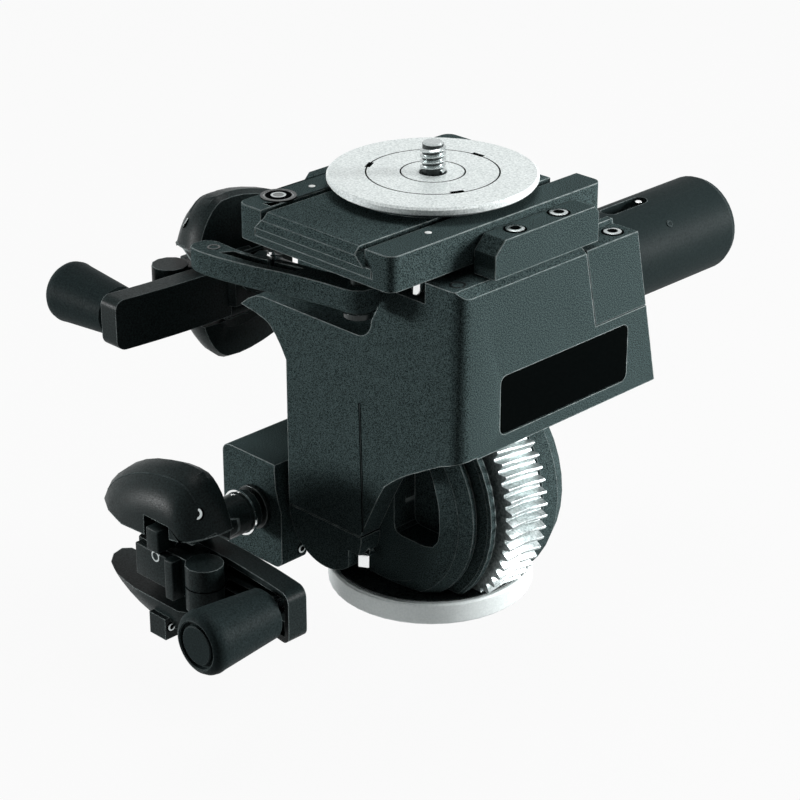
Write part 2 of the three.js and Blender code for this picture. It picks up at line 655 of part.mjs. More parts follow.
function hingeRooms() {
  const { backLow, top } = house;
  const low = nod.z - lug.radius - room;
  const lugRoom = (from, to) => block(
    from - room, to + room, nod.y - lug.radius - room, backLow + overrun, low, top + overrun,
  );
  const half = pinion.width / 2 + room;
  return [
    lugRoom(lugInner, lugOuter), lugRoom(-lugOuter, -lugInner),
    bar("x", pinionPitch + toothModule + room, -half, half, nod.y, nod.z, midSides),
    bar("x", nod.shaft + fit, -houseHalf - overrun, nodRight + fit, nod.y, nod.z, smallSides),
    pushed(capOutline(fit, overrun), "x", capInner - fit, houseHalf + overrun),
  ];
}

function driveRooms() {
  const wormEnd = sideWorm.length / 2 + overrun;
  const rodFront = rod.front - rodTravel - overrun;
  const rackHalf = rod.rackWidth / 2 + room;
  return [
    bar("x", sideWorm.pitch + 2 * toothModule, -wormEnd, wormEnd, 0, sideWormRise, midSides),
    bar("x", unit.shaft + fit, sideCaseFace - overrun, sideWorm.shaftEnd + room, 0, sideWormRise, smallSides),
    bar("y", rod.radius + room, rodFront, house.backLow, 0, tube.z, midSides),
    block(-rackHalf, rackHalf, rodFront, house.backLow, tube.z, rackTip + room),
    bar("y", tube.radius + fit, tube.front - fit, house.backLow + overrun, 0, tube.z),
  ];
}

function cornerCut() {
  const { front, top, round } = house;
  return cut(
    block(houseHalf - round, houseHalf + overrun, front - overrun, front + round, -beyond, top + overrun),
    bar("z", round, -beyond, top + beyond, houseHalf - round, front + round, midSides),
  );
}

function screwHoles(radius, from, to) {
  return [-1, 1].flatMap((sign) => cheekScrew.places.map((y) => bar(
    "z", radius, from, to, sign * cheekMiddle, y, pinSides,
  )));
}

function buildHousing() {
  const { front, wall, top, bottom, lobe, backLow, ledge, ledgeDeep, ledgeRight } = house;
  const frontWall = pushed(frontWallOutline(), "y", front, front + wall);
  const body = pushed(bodyOutline(), "y", front + wall - fit, backLow);
  const sleeve = bar("x", lobe, sideCaseFace, -houseHalf + overrun, 0, sideWormRise);
  const eyeFront = drum.back + pivot.eyeGap;
  const eyeBack = pivot.back - fit;
  const eye = join(
    bar("y", pivot.eye, eyeFront, eyeBack, 0, 0, midSides),
    block(-pivot.eye, pivot.eye, eyeFront, eyeBack, 0, bottom + pivot.eye),
  );
  const finger = block(sideCaseFace - overrun, ledgeRight, front - overrun, front + ledgeDeep, ledge, top + overrun);
  const labelRoom = pushed(
    roundedOutline(label.front, label.back, label.bottom, label.top, label.round), "x",
    houseHalf - label.depth, houseHalf + overrun,
  );
  const boltHole = bar("z", footBolt.stem + fit, legBottom - overrun, footBolt.stemTop + room, footBoltX,
    footBoltY, pinSides);
  const pivotBore = bar("y", pivot.radius + fit, drum.back, pivot.back + overrun, 0, 0, midSides);
  const holes = screwHoles(cheekScrew.stem + fit, top - cheekScrew.reach - room, top + overrun);
  const shell = cut(
    join(cut(join(body, sleeve), saddle()), frontWall, eye), behindBack(), finger, ...hingeRooms(),
    ...driveRooms(), labelRoom, cornerCut(), boltHole, pivotBore, ...holes,
  );
  add(leaning, "housing", shell, "casting");
}

// The hinge cap's slanted block, seen along X.
function capOutline(grow, rise) {
  const { frontHigh, frontLow, bottom, top } = capBlock;
  const slope = (frontHigh - frontLow) / (top - bottom);
  const low = bottom - grow;
  const high = top + rise;
  return outline([
    [frontLow + slope * (high - bottom) - grow, high], [frontLow + slope * (low - bottom) - grow, low],
    [house.backLow + overrun, low], [house.backLow + overrun, high],
  ]);
}

function buildLegFoot() {
  const { front, wall } = house;
  const half = new THREE.Shape();
  half.absarc(footX, footZ, foot.radius, Math.PI, 2 * Math.PI, false);
  const shoe = pushed(half, "y", front, front + wall, { curveSegments: smallSides });
  const notch = block(footX + foot.notch, beyond, front - overrun, front + wall + overrun, -beyond, foot.notchTop);
  const { head, headHeight, stem, stemTop } = footBolt;
  const hole = bar("z", stem + fit, foot.notchTop - overrun, legBottom + overrun, footBoltX, footBoltY, pinSides);
  add(leaning, "leg_foot", cut(shoe, notch, hole), "casting");
  const headTop = foot.notchTop - fit;
  const bolt = join(
    bar("z", head, headTop - headHeight, headTop, footBoltX, footBoltY, 6),
    bar("z", stem, headTop - headHeight / 2, stemTop, footBoltX, footBoltY, pinSides),
  );
  add(leaning, "leg_foot_bolt", bolt, "chrome");
}

function buildCheeks() {
  const from = house.top + fit;
  const { width, front, back, height, chamfer, round } = cheek;
  const to = from + height;
  const { radius, headHeight, sunk, stem, reach, places } = cheekScrew;
  const headTop = to - sunk;
  const headBottom = headTop - headHeight;
  const side = outline([
    [front, from], [back, from], [back, to - round], [back - round, to], [front + chamfer, to],
    [front, to - chamfer],
  ]);
  for (const [name, sign] of [["right", 1], ["left", -1]]) {
    const inner = sign > 0 ? cheekInner : -cheekInner - width;
    const profile = pushed(side, "x", inner, inner + width);
    const holes = [
      ...screwHoles(radius + fit, headBottom - fit, to + overrun), ...screwHoles(stem + fit, from - overrun, to),
    ];
    add(leaning, `cheek_block_${name}`, cut(profile, ...holes), "casting");
    places.forEach((y, index) => {
      const head = bar("z", radius, headBottom, headTop, sign * cheekMiddle, y, smallSides);
      const shank = bar("z", stem, house.top - reach, headBottom + fit, sign * cheekMiddle, y, pinSides);
      add(leaning, `cheek_screw_${name}_${index + 1}`, join(head, shank), "steel");
    });
  }
}

function buildHousingTrim() {
  const capPiece = cut(
    pushed(capOutline(0, 0), "x", capInner, houseHalf), behindBack(),
    bar("x", nod.shaft + fit, capInner - overrun, nodRight + fit, nod.y, nod.z, smallSides),
  );
  add(leaning, "hinge_cap", capPiece, "casting");
  const { front, back, bottom, top, round, depth, thick } = label;
  const plate = pushed(
    roundedOutline(front + fit, back - fit, bottom + fit, top - fit, round - fit), "x",
    houseHalf - depth + fit, houseHalf - depth + fit + thick,
  );
  add(leaning, "label_plate", plate, "plate");
  const buffer = bar("z", stop.radius, house.top - stop.depth + fit, platform.bottom - fit,
    (stop.left + stop.right) / 2, house.front + house.wall / 2, smallSides);
  add(leaning, "platform_stop", buffer, "steel");
}

function buildTube() {
  const { radius, wall, z, front, back, bulkhead, round, slotFront, slotBack, slotWidth } = tube;
  const inner = radius - wall;
  const shell = turned([[0, front], [radius, front], ...roundedEnd(radius, back, round, 2), [0, back]], "y", 0, z);
  const half = slotWidth / 2;
  const slotShape = new THREE.Shape();
  slotShape.absarc(0, slotBack - half, half, 0, Math.PI, false);
  slotShape.absarc(0, slotFront + half, half, Math.PI, 2 * Math.PI, false);
  const slot = pushed(slotShape, "z", z, z + radius + overrun);
  const bore = bar("y", inner, front + bulkhead, back - wall, 0, z);
  const mouth = bar("y", rod.radius + 2 * room, front - overrun, front + bulkhead + overrun, 0, z, midSides);
  add(leaning, "spring_tube", cut(shell, bore, mouth, slot), "casting");

  const stem = bar("y", rod.radius, rod.front, rod.back, 0, z, midSides);
  const rack = block(-rod.rackWidth / 2, rod.rackWidth / 2, rod.front, rod.rackBack, z, rackTip);
  const pistonBack = rod.back + rod.pistonLength;
  const piston = bar("y", inner - fit, rod.back, pistonBack, 0, z, midSides);
  const aboveTip = block(-beyond, beyond, rod.front - overrun, rod.rackBack, rackTip, beyond);
  const pointerY = rod.back + rod.pistonLength / 2;
  const pointerHole = bar("z", pointer.radius + fit, z, z + inner + overrun, 0, pointerY, pinSides);
  const rodPiece = cut(join(stem, rack, piston), ...rackToothGaps(), aboveTip, pointerHole);
  add(leaning, "spring_rod", rodPiece, "steel");
  const pin = bar("z", pointer.radius, z + fit, z + radius - pointer.sunk, 0, pointerY, pinSides);
  add(leaning, "spring_pointer", pin, "chrome");
}

function rackToothGaps() {
  const pitchStep = Math.PI * toothModule;
  const half = pitchStep / 4 + wheelBacklash;
  const above = crestShare * toothModule + room;
  const under = (rootShare + 1 - crestShare) * toothModule;
  return Array.from({ length: rackGaps }, (_, index) => {
    const middle = nod.y + (index - 1) * pitchStep;
    const wide = half + above * flankSlope;
    const narrow = half - under * flankSlope;
    const gap = outline([
      [middle - wide, rackPitchLine + above], [middle - narrow, rackPitchLine - under],
      [middle + narrow, rackPitchLine - under], [middle + wide, rackPitchLine + above],
    ]);
    return pushed(gap, "x", -rod.radius - room, rod.radius + room);
  });
}

function buildNodDrive() {
  const { front, back, bottom, top, round, wall } = nodCase;
  const shell = pushed(roundedOutline(front, back, bottom, top, round), "x", nodCaseLeft, nodCaseRight);
  const wheelEnd = nodWheel.width / 2 + room;
  const wormEnd = nodWorm.length / 2 + room;
  const rooms = [
    bar("x", nodWheelPitch + toothModule + room, nodWormX - wheelEnd, nodWormX + wheelEnd, nod.y, nod.z, midSides),
    bar("y", nodWorm.pitch + toothModule + room, nod.y - wormEnd, nod.y + wormEnd, nodWormX, nodWormZ, midSides),
    bar("y", nodWorm.shaft + fit, front + wall, back + overrun, nodWormX, nodWormZ, smallSides),
    bar("x", nod.shaft + fit, nodLeft - fit, nodCaseRight + overrun, nod.y, nod.z, smallSides),
  ];
  add(leaning, "nod_gear_case", cut(shell, ...rooms), "casting");

  const knobFrom = back + nodKnob.stand;
  const knobTo = knobFrom + nodKnob.length;
  const shaftFront = front + wall + room;
  const shaftBack = knobTo - nodKnob.cap;
  const turning = worm(nodWorm.pitch, toothModule, nodWorm.length, nodWorm.shaft, shaftFront - nod.y,
    shaftBack - nod.y);
  turning.rotateZ(-Math.PI / 2).rotateX(-Math.PI / 2);
  turning.translate(nodWormX, nod.y, nodWormZ);
  add(leaning, "nod_worm", turning, "steel");

  const knobPoints = Array.from({ length: 4 * nodKnob.lobes }, (_, index) => {
    const angle = (index * 2 * Math.PI) / (4 * nodKnob.lobes);
    const radius = nodKnob.radius + nodKnob.lobe * Math.cos(nodKnob.lobes * angle);
    return [radius * Math.cos(angle), radius * Math.sin(angle)];
  });
  const { bevel } = nodKnob;
  const body = pushed(outline(knobPoints), "y", knobFrom + bevel, knobTo - bevel, {
    bevelEnabled: true, bevelSize: bevel, bevelThickness: bevel, bevelSegments: 1,
  });
  body.translate(nodWormX, 0, nodWormZ);
  const neck = bar("y", nodKnob.neck, back + room, knobFrom + room, nodWormX, nodWormZ, smallSides);
  const bore = bar("y", nodWorm.shaft + fit, back - overrun, shaftBack + room, nodWormX, nodWormZ, smallSides);
  add(leaning, "nod_knob", cut(join(body, neck), bore), "gloss");

  add(leaning, "nod_shaft", bar("x", nod.shaft, nodLeft, nodRight, nod.y, nod.z, smallSides), "steel");
  const bearing = nod.shaft + fit;
  const { teeth, width } = nodWheel;
  const wheel = wormWheel(teeth, toothModule, width, bearing, -Math.PI / 2 + Math.PI / teeth, nodWorm.pitch, 0);
  add(leaning, "nod_worm_wheel", onNodShaft(wheel, nodWormX), "brass");
  const small = pushed(
    gearOutline(pinion.teeth, toothModule, bearing, wheelBacklash, -Math.PI / 2), "z",
    -pinion.width / 2, pinion.width / 2, { curveSegments: smallSides },
  );
  add(leaning, "spring_pinion", onNodShaft(small, 0), "gear");
}

// Turns a wheel built in the XY plane so that it sits on the nod shaft.
function onNodShaft(wheel, x) {
  return wheel.applyMatrix4(zToX).translate(x, nod.y, nod.z);
}

// Platform, slider and camera screw, in the frame of the lean axis

function buildPlatform() {
  const { half, front, back, bottom, top, round, slot, slotFoot, slotFloor, lipFoot, lipTop } = platform;
  const slab = pushed(roundedOutline(-half, half, front, back, round), "z", bottom, top);
  const channel = pushed(
    outline([
      [-slotFoot, slotFloor], [slotFoot, slotFloor], [slotFoot, slotFloor + lipFoot], [slot, slotFloor + lipTop],
      [slot, top + overrun], [-slot, top + overrun], [-slot, slotFloor + lipTop], [-slotFoot, slotFloor + lipFoot],
    ]),
    "y", front - overrun, back + overrun,
  );
  const lugAt = (from, to) => join(
    bar("x", lug.radius, from, to, nod.y, nod.z, midSides),
    block(from, to, nod.y - lug.radius, back, nod.z, bottom + overrun),
  );
  const shaftHole = bar("x", nod.shaft + fit, -lugOuter - overrun, lugOuter + overrun, nod.y, nod.z, smallSides);
  const { x, y, radius, depth, rise } = bubble;
  const bubbleHole = bar("z", radius + fit, top - depth - fit, top + overrun, x, y, smallSides);
  const { pin, pinDepth, pivotX, pivotY, pinHead, headHeight } = lever;
  const pinHole = bar("z", pin + fit, bottom - overrun, bottom + pinDepth + fit, pivotX, pivotY, smallSides);
  const body = join(slab, lugAt(lugInner, lugOuter), lugAt(-lugOuter, -lugInner));
  add(leaning, "platform", cut(body, channel, shaftHole, bubbleHole, pinHole), "casting");
  add(leaning, "bubble_level", bar("z", radius, top - depth, top + rise, x, y, smallSides), "glass");

  const headTop = lever.bottom - fit;
  const pinPiece = join(
    bar("z", pin, headTop - fit, bottom + pinDepth, pivotX, pivotY, smallSides),
    bar("z", pinHead, headTop - headHeight, headTop, pivotX, pivotY, smallSides),
  );
  add(leaning, "lock_lever_pin", pinPiece, "steel");
}

function buildLever() {
  const { pivotX, pivotY, boss, bottom, top, length, depth, pin, pocketDepth } = lever;
  const place = ([along, out]) => new THREE.Vector2(pivotX - along * length, pivotY - out * depth);
  const shape = new THREE.Shape();
  shape.moveTo(...place(leverFrontShares[0]).toArray());
  shape.splineThru(leverFrontShares.slice(1).map(place));
  shape.absarc(pivotX, pivotY, boss, -Math.PI / 2, Math.PI / 2, false);
  shape.splineThru(leverRearShares.map(place));
  const blade = pushed(shape, "z", bottom, top);
  const hollow = pushed(new THREE.Shape(leverPocketShares.map(place)), "z", top - pocketDepth, top + overrun);
  const hole = bar("z", pin + fit, bottom - overrun, top + overrun, pivotX, pivotY, smallSides);
  add(leaning, "lock_lever", cut(blade, hollow, hole), "casting");
}

function buildSlider() {
  const { front, back, footHeight, boss, nose } = slider;
  const half = platform.slot - slider.gap;
  const footHalf = platform.slotFoot - fit;
  const floor = platform.slotFloor + fit;
  const knee = floor + footHeight;
  const shoulder = knee + footHalf - half;
  const top = platform.top + slider.rise;
  const bossTop = top + slider.bossRise;
  const body = pushed(
    outline([
      [-footHalf, floor], [footHalf, floor], [footHalf, knee], [half, shoulder], [half, top], [-half, top],
      [-half, shoulder], [-footHalf, knee],
    ]),
    "y", front, back,
  );
  const beside = (from, to) => block(from, to, -beyond, beyond, floor, platform.top + fit);
  const pad = cut(
    bar("z", boss, top - room, bossTop, 0, 0), beside(half, beyond), beside(-beyond, -half),
  );
  const noseCut = pushed(
    outline([
      [front - overrun, top - nose - overrun], [front - overrun, top + overrun], [front + nose + overrun, top + overrun],
    ]),
    "x", -beyond, beyond,
  );
  const screwHole = bar("z", screw.radius + fit, floor - overrun, bossTop + overrun, 0, 0, smallSides);
  const headRoom = bar("z", screw.head + fit, floor - overrun, floor + screw.headHeight + overrun, 0, 0, smallSides);
  add(leaning, "slider_plate", cut(join(body, pad), noseCut, screwHole, headRoom), "casting");

  const from = bossTop + fit;
  const to = from + disc.thick;
  const { radius, bevel } = disc;
  const round = turned(
    [[0, from], ...roundedEnd(radius, from, -bevel, 1).reverse(), ...roundedEnd(radius, to, bevel, 1), [0, to]], "z",
  );
  const discHole = bar("z", screw.radius + fit, from - overrun, to + overrun, 0, 0, smallSides);
  add(leaning, "camera_disc", cut(round, discHole), "silver");
  const headTop = floor + screw.headHeight;
  const bolt = join(
    bar("z", screw.radius, headTop - room, to + screw.stand, 0, 0, smallSides),
    bar("z", screw.head, floor + fit, headTop, 0, 0, smallSides),
  );
  add(leaning, "camera_screw", bolt, "steel");
}

// The two crank units

function wingDome(shift) {
  const { radius, long, back, front } = wing;
  const points = [...wingShares, wingShares[0]].map(([out, along]) => new THREE.Vector2(
    out * radius, back + along * (front - back),
  ));
  const dome = facingOut(new THREE.LatheGeometry(points, roundSides));
  return dome.rotateX(Math.PI / 2).scale(long / radius, 1, 1).translate(shift, 0, 0);
}

// The round bar that a wing rocks on, from one height to another.
function wingHinge(low, high) {
  const { hingeZ, hingeLeft, hingeRight } = wing;
  return bar("x", (high - low) / 2, hingeLeft, hingeRight, (low + high) / 2, hingeZ, smallSides);
}

function upperWing() {
  const { upperEdge, front, hingeBite, shift } = wing;
  const below = block(-beyond, beyond, -beyond, upperEdge, -beyond, beyond);
  const notch = block(key.left - key.notch, key.right + key.notch, 0, key.top + key.notch, key.back - room,
    front + overrun);
  const hinge = wingHinge(unit.coreUp + fit, upperEdge + hingeBite);
  return join(cut(wingDome(shift), below, notch), hinge);
}

function lowerWing() {
  const { lowerEdge, hingeBite } = wing;
  const above = block(-beyond, beyond, lowerEdge, beyond, -beyond, beyond);
  const stud = block(key.left, key.right, lowerKey.bottom, lowerKey.top, key.back, key.front);
  const hinge = wingHinge(lowerEdge - hingeBite, unit.coreDown - fit);
  return join(cut(wingDome(0), above), stud, hinge);
}

// The crank arm seen from above, bowed outwards, grown by a clearance or drawn in by a wall.
function armOutline(start, end, back, front) {
  const middle = (start + end) / 2;
  const shape = new THREE.Shape();
  shape.moveTo(start, back);
  shape.quadraticCurveTo(middle, back, end, back + arm.bow);
  shape.lineTo(end, front + arm.bow);
  shape.quadraticCurveTo(middle, front, start, front);
  return shape;
}

function armBody(grow) {
  const { start, end, back, deep, up, down } = arm;
  const shape = armOutline(start - grow, end, back - grow, back + deep + grow);
  return pushed(shape, "y", down - grow, up + grow, { curveSegments: 2 * arcSteps });
}

function buildArm(prefix, group) {
  const { end, back, deep, up, down, wall, pocketStart, round } = arm;
  const pocketShape = armOutline(pocketStart, end - wall, back + wall, back + deep + overrun);
  const hollow = pushed(pocketShape, "y", down + wall, up - wall, { curveSegments: 2 * arcSteps });
  const corner = roundedOutline(-beyond, end, down, up, round);
  const corners = cut(
    block(end - round, end + overrun, down - overrun, up + overrun, back - overrun, back + deep + arm.bow + overrun),
    pushed(corner, "z", back - 2 * overrun, back + deep + arm.bow + 2 * overrun),
  );
  const pinHole = bar("z", grip.pin + fit, back + arm.bow + room, beyond, gripX, gripY, smallSides);
  add(group, `${prefix}_crank_arm`, cut(armBody(0), hollow, corners, pinHole), "gloss");
}

function buildGrip(prefix, group) {
  const { radius, waist, length, gap, round, edge, pin, cap } = grip;
  const from = arm.back + arm.deep + arm.bow + gap;
  const to = from + length;
  const pinPiece = bar("z", pin, arm.back + arm.bow + room + fit, to - cap - fit, gripX, gripY, smallSides);
  add(group, `${prefix}_grip_pin`, pinPiece, "steel");
  const handle = turned(
    [[0, from], ...roundedEnd(waist, from, -edge, 1).reverse(), ...roundedEnd(radius, to, round, 2), [0, to]],
    "z", gripX, gripY, midSides,
  );
  const bore = bar("z", pin + fit, from - overrun, to - cap, gripX, gripY, smallSides);
  add(group, `${prefix}_grip`, cut(handle, bore), "casting");
}

function buildHub(prefix, group, stand) {
  const { shaft, neck, neckBack, flare, flareLength, coreBack, coreFront, boreEnd } = unit;
  const { coreLeft, coreRight, coreDown, coreUp, barrel, barrelX, barrelZ, barrelUp, barrelDown } = unit;
  const flareEnd = coreBack + flareLength;
  const body = join(
    bar("z", neck, neckBack - stand, coreBack + room, 0, 0, smallSides),
    bar("z", flare, coreBack, flareEnd, 0, 0, smallSides),
    block(coreLeft, coreRight, coreDown, coreUp, flareEnd - overrun, coreFront),
    bar("y", barrel, barrelDown, barrelUp, barrelX, barrelZ, smallSides),
  );
  const bore = bar("z", shaft + fit, -stand - overrun, coreFront - boreEnd, 0, 0, smallSides);
  add(group, `${prefix}_hub`, cut(body, bore, armBody(fit)), "gloss");
  const releaseKey = join(
    block(key.left, key.right, coreUp + fit, key.top, key.back, key.front),
    block(key.left, key.right, key.bottom, key.top, coreFront + fit, key.front),
  );
  add(group, `${prefix}_release_key`, releaseKey, "gloss");
}

// One crank unit. Its group stands off the case; the side unit's shaft also carries the worm.
function buildUnit(prefix, parent, place, stand, innerReach, wormPlace) {
  const fixed = new THREE.Group();
  fixed.applyMatrix4(place);
  parent.add(fixed);
  const group = new THREE.Group();
  group.position.z = stand;
  fixed.add(group);
  const { shaft, collarOuter, collarLength, coreFront, boreEnd } = unit;
  const ring = cut(
    bar("z", collarOuter, fit, collarLength, 0, 0, midSides),
    bar("z", shaft + fit, -overrun, collarLength + overrun, 0, 0, smallSides),
  );
  add(fixed, `${prefix}_shaft_collar`, ring, "chrome");
  const spine = bar("z", shaft, -innerReach - stand, coreFront - boreEnd - room, 0, 0, smallSides);
  if (wormPlace === null) {
    add(group, `${prefix}_shaft`, spine, "steel");
  } else {
    const threaded = worm(sideWorm.pitch, toothModule, sideWorm.length, shaft, -shaft, shaft);
    threaded.rotateZ(-Math.PI / 2);
    threaded.translate(0, 0, wormPlace - stand);
    add(group, `${prefix}_shaft`, join(spine, threaded), "steel");
  }
  buildHub(prefix, group, stand);
  add(group, `${prefix}_upper_wing`, upperWing(), "gloss");
  add(group, `${prefix}_lower_wing`, lowerWing(), "gloss");
  buildArm(prefix, group);
  buildGrip(prefix, group);
}

buildBase();
buildPanWheel();
buildTurntable();
buildPanDrive();
buildHousing();
buildLegFoot();
buildCheeks();
buildHousingTrim();
buildTube();
buildNodDrive();
buildPlatform();
buildLever();
buildSlider();

const panPlace = new THREE.Matrix4()
  .makeBasis(new THREE.Vector3(1, 0, 0), new THREE.Vector3(0, 0, 1), new THREE.Vector3(0, -1, 0))
  .setPosition(panAxis.x, panCase.front, panAxisZ);
buildUnit("pan", pieces, panPlace, panStand, spur.front + spur.width - panCase.front, null);
const sidePlace = new THREE.Matrix4()
  .makeBasis(new THREE.Vector3(0, -1, 0), new THREE.Vector3(0, 0, 1), new THREE.Vector3(-1, 0, 0))
  .setPosition(sideCaseFace, 0, sideWormRise);
buildUnit("side", leaning, sidePlace, 0, sideWorm.shaftEnd - sideCaseFace, sideCaseFace);

export default pieces;
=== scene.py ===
import json
import math

import bmesh
import bpy
from mathutils import Matrix, Vector


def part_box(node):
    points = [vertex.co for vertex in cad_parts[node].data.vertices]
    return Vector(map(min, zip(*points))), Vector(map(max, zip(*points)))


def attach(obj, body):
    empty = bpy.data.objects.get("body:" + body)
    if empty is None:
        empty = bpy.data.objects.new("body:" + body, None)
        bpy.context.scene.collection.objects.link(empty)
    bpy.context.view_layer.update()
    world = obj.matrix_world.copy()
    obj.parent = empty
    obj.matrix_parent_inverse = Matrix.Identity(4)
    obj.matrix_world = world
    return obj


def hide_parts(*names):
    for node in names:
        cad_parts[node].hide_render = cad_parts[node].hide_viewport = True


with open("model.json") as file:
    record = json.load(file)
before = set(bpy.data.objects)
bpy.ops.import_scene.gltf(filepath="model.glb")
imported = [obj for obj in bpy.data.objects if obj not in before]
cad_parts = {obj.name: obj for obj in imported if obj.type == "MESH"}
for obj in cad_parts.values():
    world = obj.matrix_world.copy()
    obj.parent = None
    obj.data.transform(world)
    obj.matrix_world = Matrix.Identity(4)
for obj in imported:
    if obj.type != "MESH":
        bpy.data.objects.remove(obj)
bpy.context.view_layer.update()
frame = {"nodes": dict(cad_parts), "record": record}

MM = 0.001  # shapes are drawn in millimetres and brought to metres by their place

# Camera in metres, solved from the two round discs of the photograph
CAMERA_PLACE = (0.583417, -0.600253, 0.463595)
CAMERA_AZIMUTH = math.radians(45)
CAMERA_HEIGHT_ANGLE = math.radians(24.9)
CAMERA_LENS = 109.67
CAMERA_SENSOR = 36
CAMERA_REACH = (0.01, 50)

# Floor and fill light
FLOOR_HEIGHT = -30 * MM
FLOOR_SIZE = 6.0
FLOOR_WHITE = 0.94
FLOOR_COLOUR = (0.3, 0.3, 0.3, 1)
FLOOR_ROUGHNESS = 0.9
FILL_COLOUR = (0.9, 1.0, 1.0, 1)
FILL_STRENGTH = 0.03

# Lamps: name, place, the point it faces, width, height, power in watts
LAMPS = (
    ("right soft box", (0.88, 1.0, 0.34), (0, 0, 0.09), 0.4, 0.5, 34),
    ("left soft box", (-0.97, -0.93, 0.16), (0, 0, 0.12), 0.32, 0.22, 14),
    ("top soft box", (-0.15, 0.25, 1.25), (0, 0, 0.12), 0.6, 0.6, 9),
)

# Body and joint place by name, from the record
RECORD = frame["record"]
BODY_OF = {
    node: body
    for body, members in RECORD["behaviour"]["bodies"].items()
    for node in members
}
JOINT_PLACE = {joint["name"]: joint.get("pos_m") for joint in RECORD["behaviour"]["joints"]}

# Positions of the colour sockets of a Mix node
MIX_A, MIX_B, MIX_RESULT = 6, 7, 2

# Grain, painted edge highlights and brushed lines; a highlight turn is the cosine where the highlight starts
# and where it is full
PATCH_SCALE = 60.0
PATCH_RANGE = (0.44, 0.56)
HIGHLIGHT_REACH = 0.6 * MM
HIGHLIGHT_SCALE = 260.0
HIGHLIGHT_TURN = (0.995, 0.9)
HIGHLIGHT_BREAKS = (0.3, 0.6)
HIGHLIGHT_LEAST = 0.35
LINE_SCALE = 900.0
LINE_RANGE = (0.3, 0.7)
COAT_BUMP = 0.15 * MM
METAL_BUMP = 0.05 * MM
COAT_GLOSS_SPREAD = 0.08
LINE_SHINE, LINE_DULLNESS = 0.06, 0.08


# Shader groups

def new_group(name, inputs, outputs):
    group = bpy.data.node_groups.new(name, "ShaderNodeTree")
    for kind, socket, value in inputs:
        made = group.interface.new_socket(socket, in_out="INPUT", socket_type=kind)
        made.default_value = value
    for kind, socket in outputs:
        group.interface.new_socket(socket, in_out="OUTPUT", socket_type=kind)
    return group


def node(tree, kind, **settings):
    made = tree.nodes.new(kind)
    for name, value in settings.items():
        if name.startswith("in_"):
            made.inputs[name[3:].replace("_", " ")].default_value = value
        else:
            setattr(made, name, value)
    return made


def link(tree, start, end):
    tree.links.new(start, end)


def map_range(tree, value, low, high, to_low, to_high):
    made = node(tree, "ShaderNodeMapRange")
    made.inputs["From Min"].default_value = low
    made.inputs["From Max"].default_value = high
    made.inputs["To Min"].default_value = to_low
    made.inputs["To Max"].default_value = to_high
    link(tree, value, made.inputs["Value"])
    return made.outputs["Result"]


def multiply(tree, first, second, clamp=False):
    made = node(tree, "ShaderNodeMath", operation="MULTIPLY", use_clamp=clamp)
    for socket, value in zip(made.inputs, (first, second)):
        if isinstance(value, float):
            socket.default_value = value
        else:
            link(tree, value, socket)
    return made.outputs[0]


def grain_group():
    """Fine speckle of a textured coat: a light and dark mask and a height."""
    group = new_group(
        "coat grain",
        [("NodeSocketFloat", "Scale", 1.0), ("NodeSocketFloat", "Contrast", 1.0)],
        [("NodeSocketFloat", "Speckle"), ("NodeSocketFloat", "Height")],
    )
    start = node(group, "NodeGroupInput")
    end = node(group, "NodeGroupOutput")
    place = node(group, "ShaderNodeTexCoord")
    fine = node(group, "ShaderNodeTexNoise", in_Detail=3.0, in_Roughness=0.65)
    coarse = node(group, "ShaderNodeTexNoise", in_Scale=PATCH_SCALE, in_Detail=2.0)
    link(group, place.outputs["Object"], fine.inputs["Vector"])
    link(group, place.outputs["Object"], coarse.inputs["Vector"])
    link(group, start.outputs["Scale"], fine.inputs["Scale"])
    centred = map_range(group, fine.outputs["Fac"], 0.0, 1.0, -0.5, 0.5)
    spread = multiply(group, centred, start.outputs["Contrast"])
    wide = map_range(group, coarse.outputs["Fac"], 0.0, 1.0, *PATCH_RANGE)
    total = node(group, "ShaderNodeMath", operation="ADD", use_clamp=True)
    link(group, spread, total.inputs[0])
    link(group, wide, total.inputs[1])
    link(group, total.outputs[0], end.inputs["Speckle"])
    link(group, fine.outputs["Fac"], end.inputs["Height"])
    return group


def painted_highlight_group():
    """A mask that is 1 on outer edges, broken up by noise, for a painted highlight along them."""
    group = new_group(
        "painted edge highlight",
        [("NodeSocketFloat", "Reach", HIGHLIGHT_REACH), ("NodeSocketFloat", "Amount", 1.0)],
        [("NodeSocketFloat", "Mask")],
    )
    start = node(group, "NodeGroupInput")
    end = node(group, "NodeGroupOutput")
    place = node(group, "ShaderNodeTexCoord")
    geometry = node(group, "ShaderNodeNewGeometry")
    rounded = node(group, "ShaderNodeBevel", samples=4)
    link(group, start.outputs["Reach"], rounded.inputs["Radius"])
    turn = node(group, "ShaderNodeVectorMath", operation="DOT_PRODUCT")
    link(group, rounded.outputs["Normal"], turn.inputs[0])
    link(group, geometry.outputs["Normal"], turn.inputs[1])
    noise = node(group, "ShaderNodeTexNoise", in_Scale=HIGHLIGHT_SCALE, in_Detail=4.0)
    link(group, place.outputs["Object"], noise.inputs["Vector"])
    near_edge = map_range(group, turn.outputs["Value"], *HIGHLIGHT_TURN, 0.0, 1.0)
    patchy = map_range(group, noise.outputs["Fac"], *HIGHLIGHT_BREAKS, HIGHLIGHT_LEAST, 1.0)
    both = multiply(group, near_edge, patchy)
    link(group, multiply(group, both, start.outputs["Amount"], clamp=True), end.inputs["Mask"])
    return group


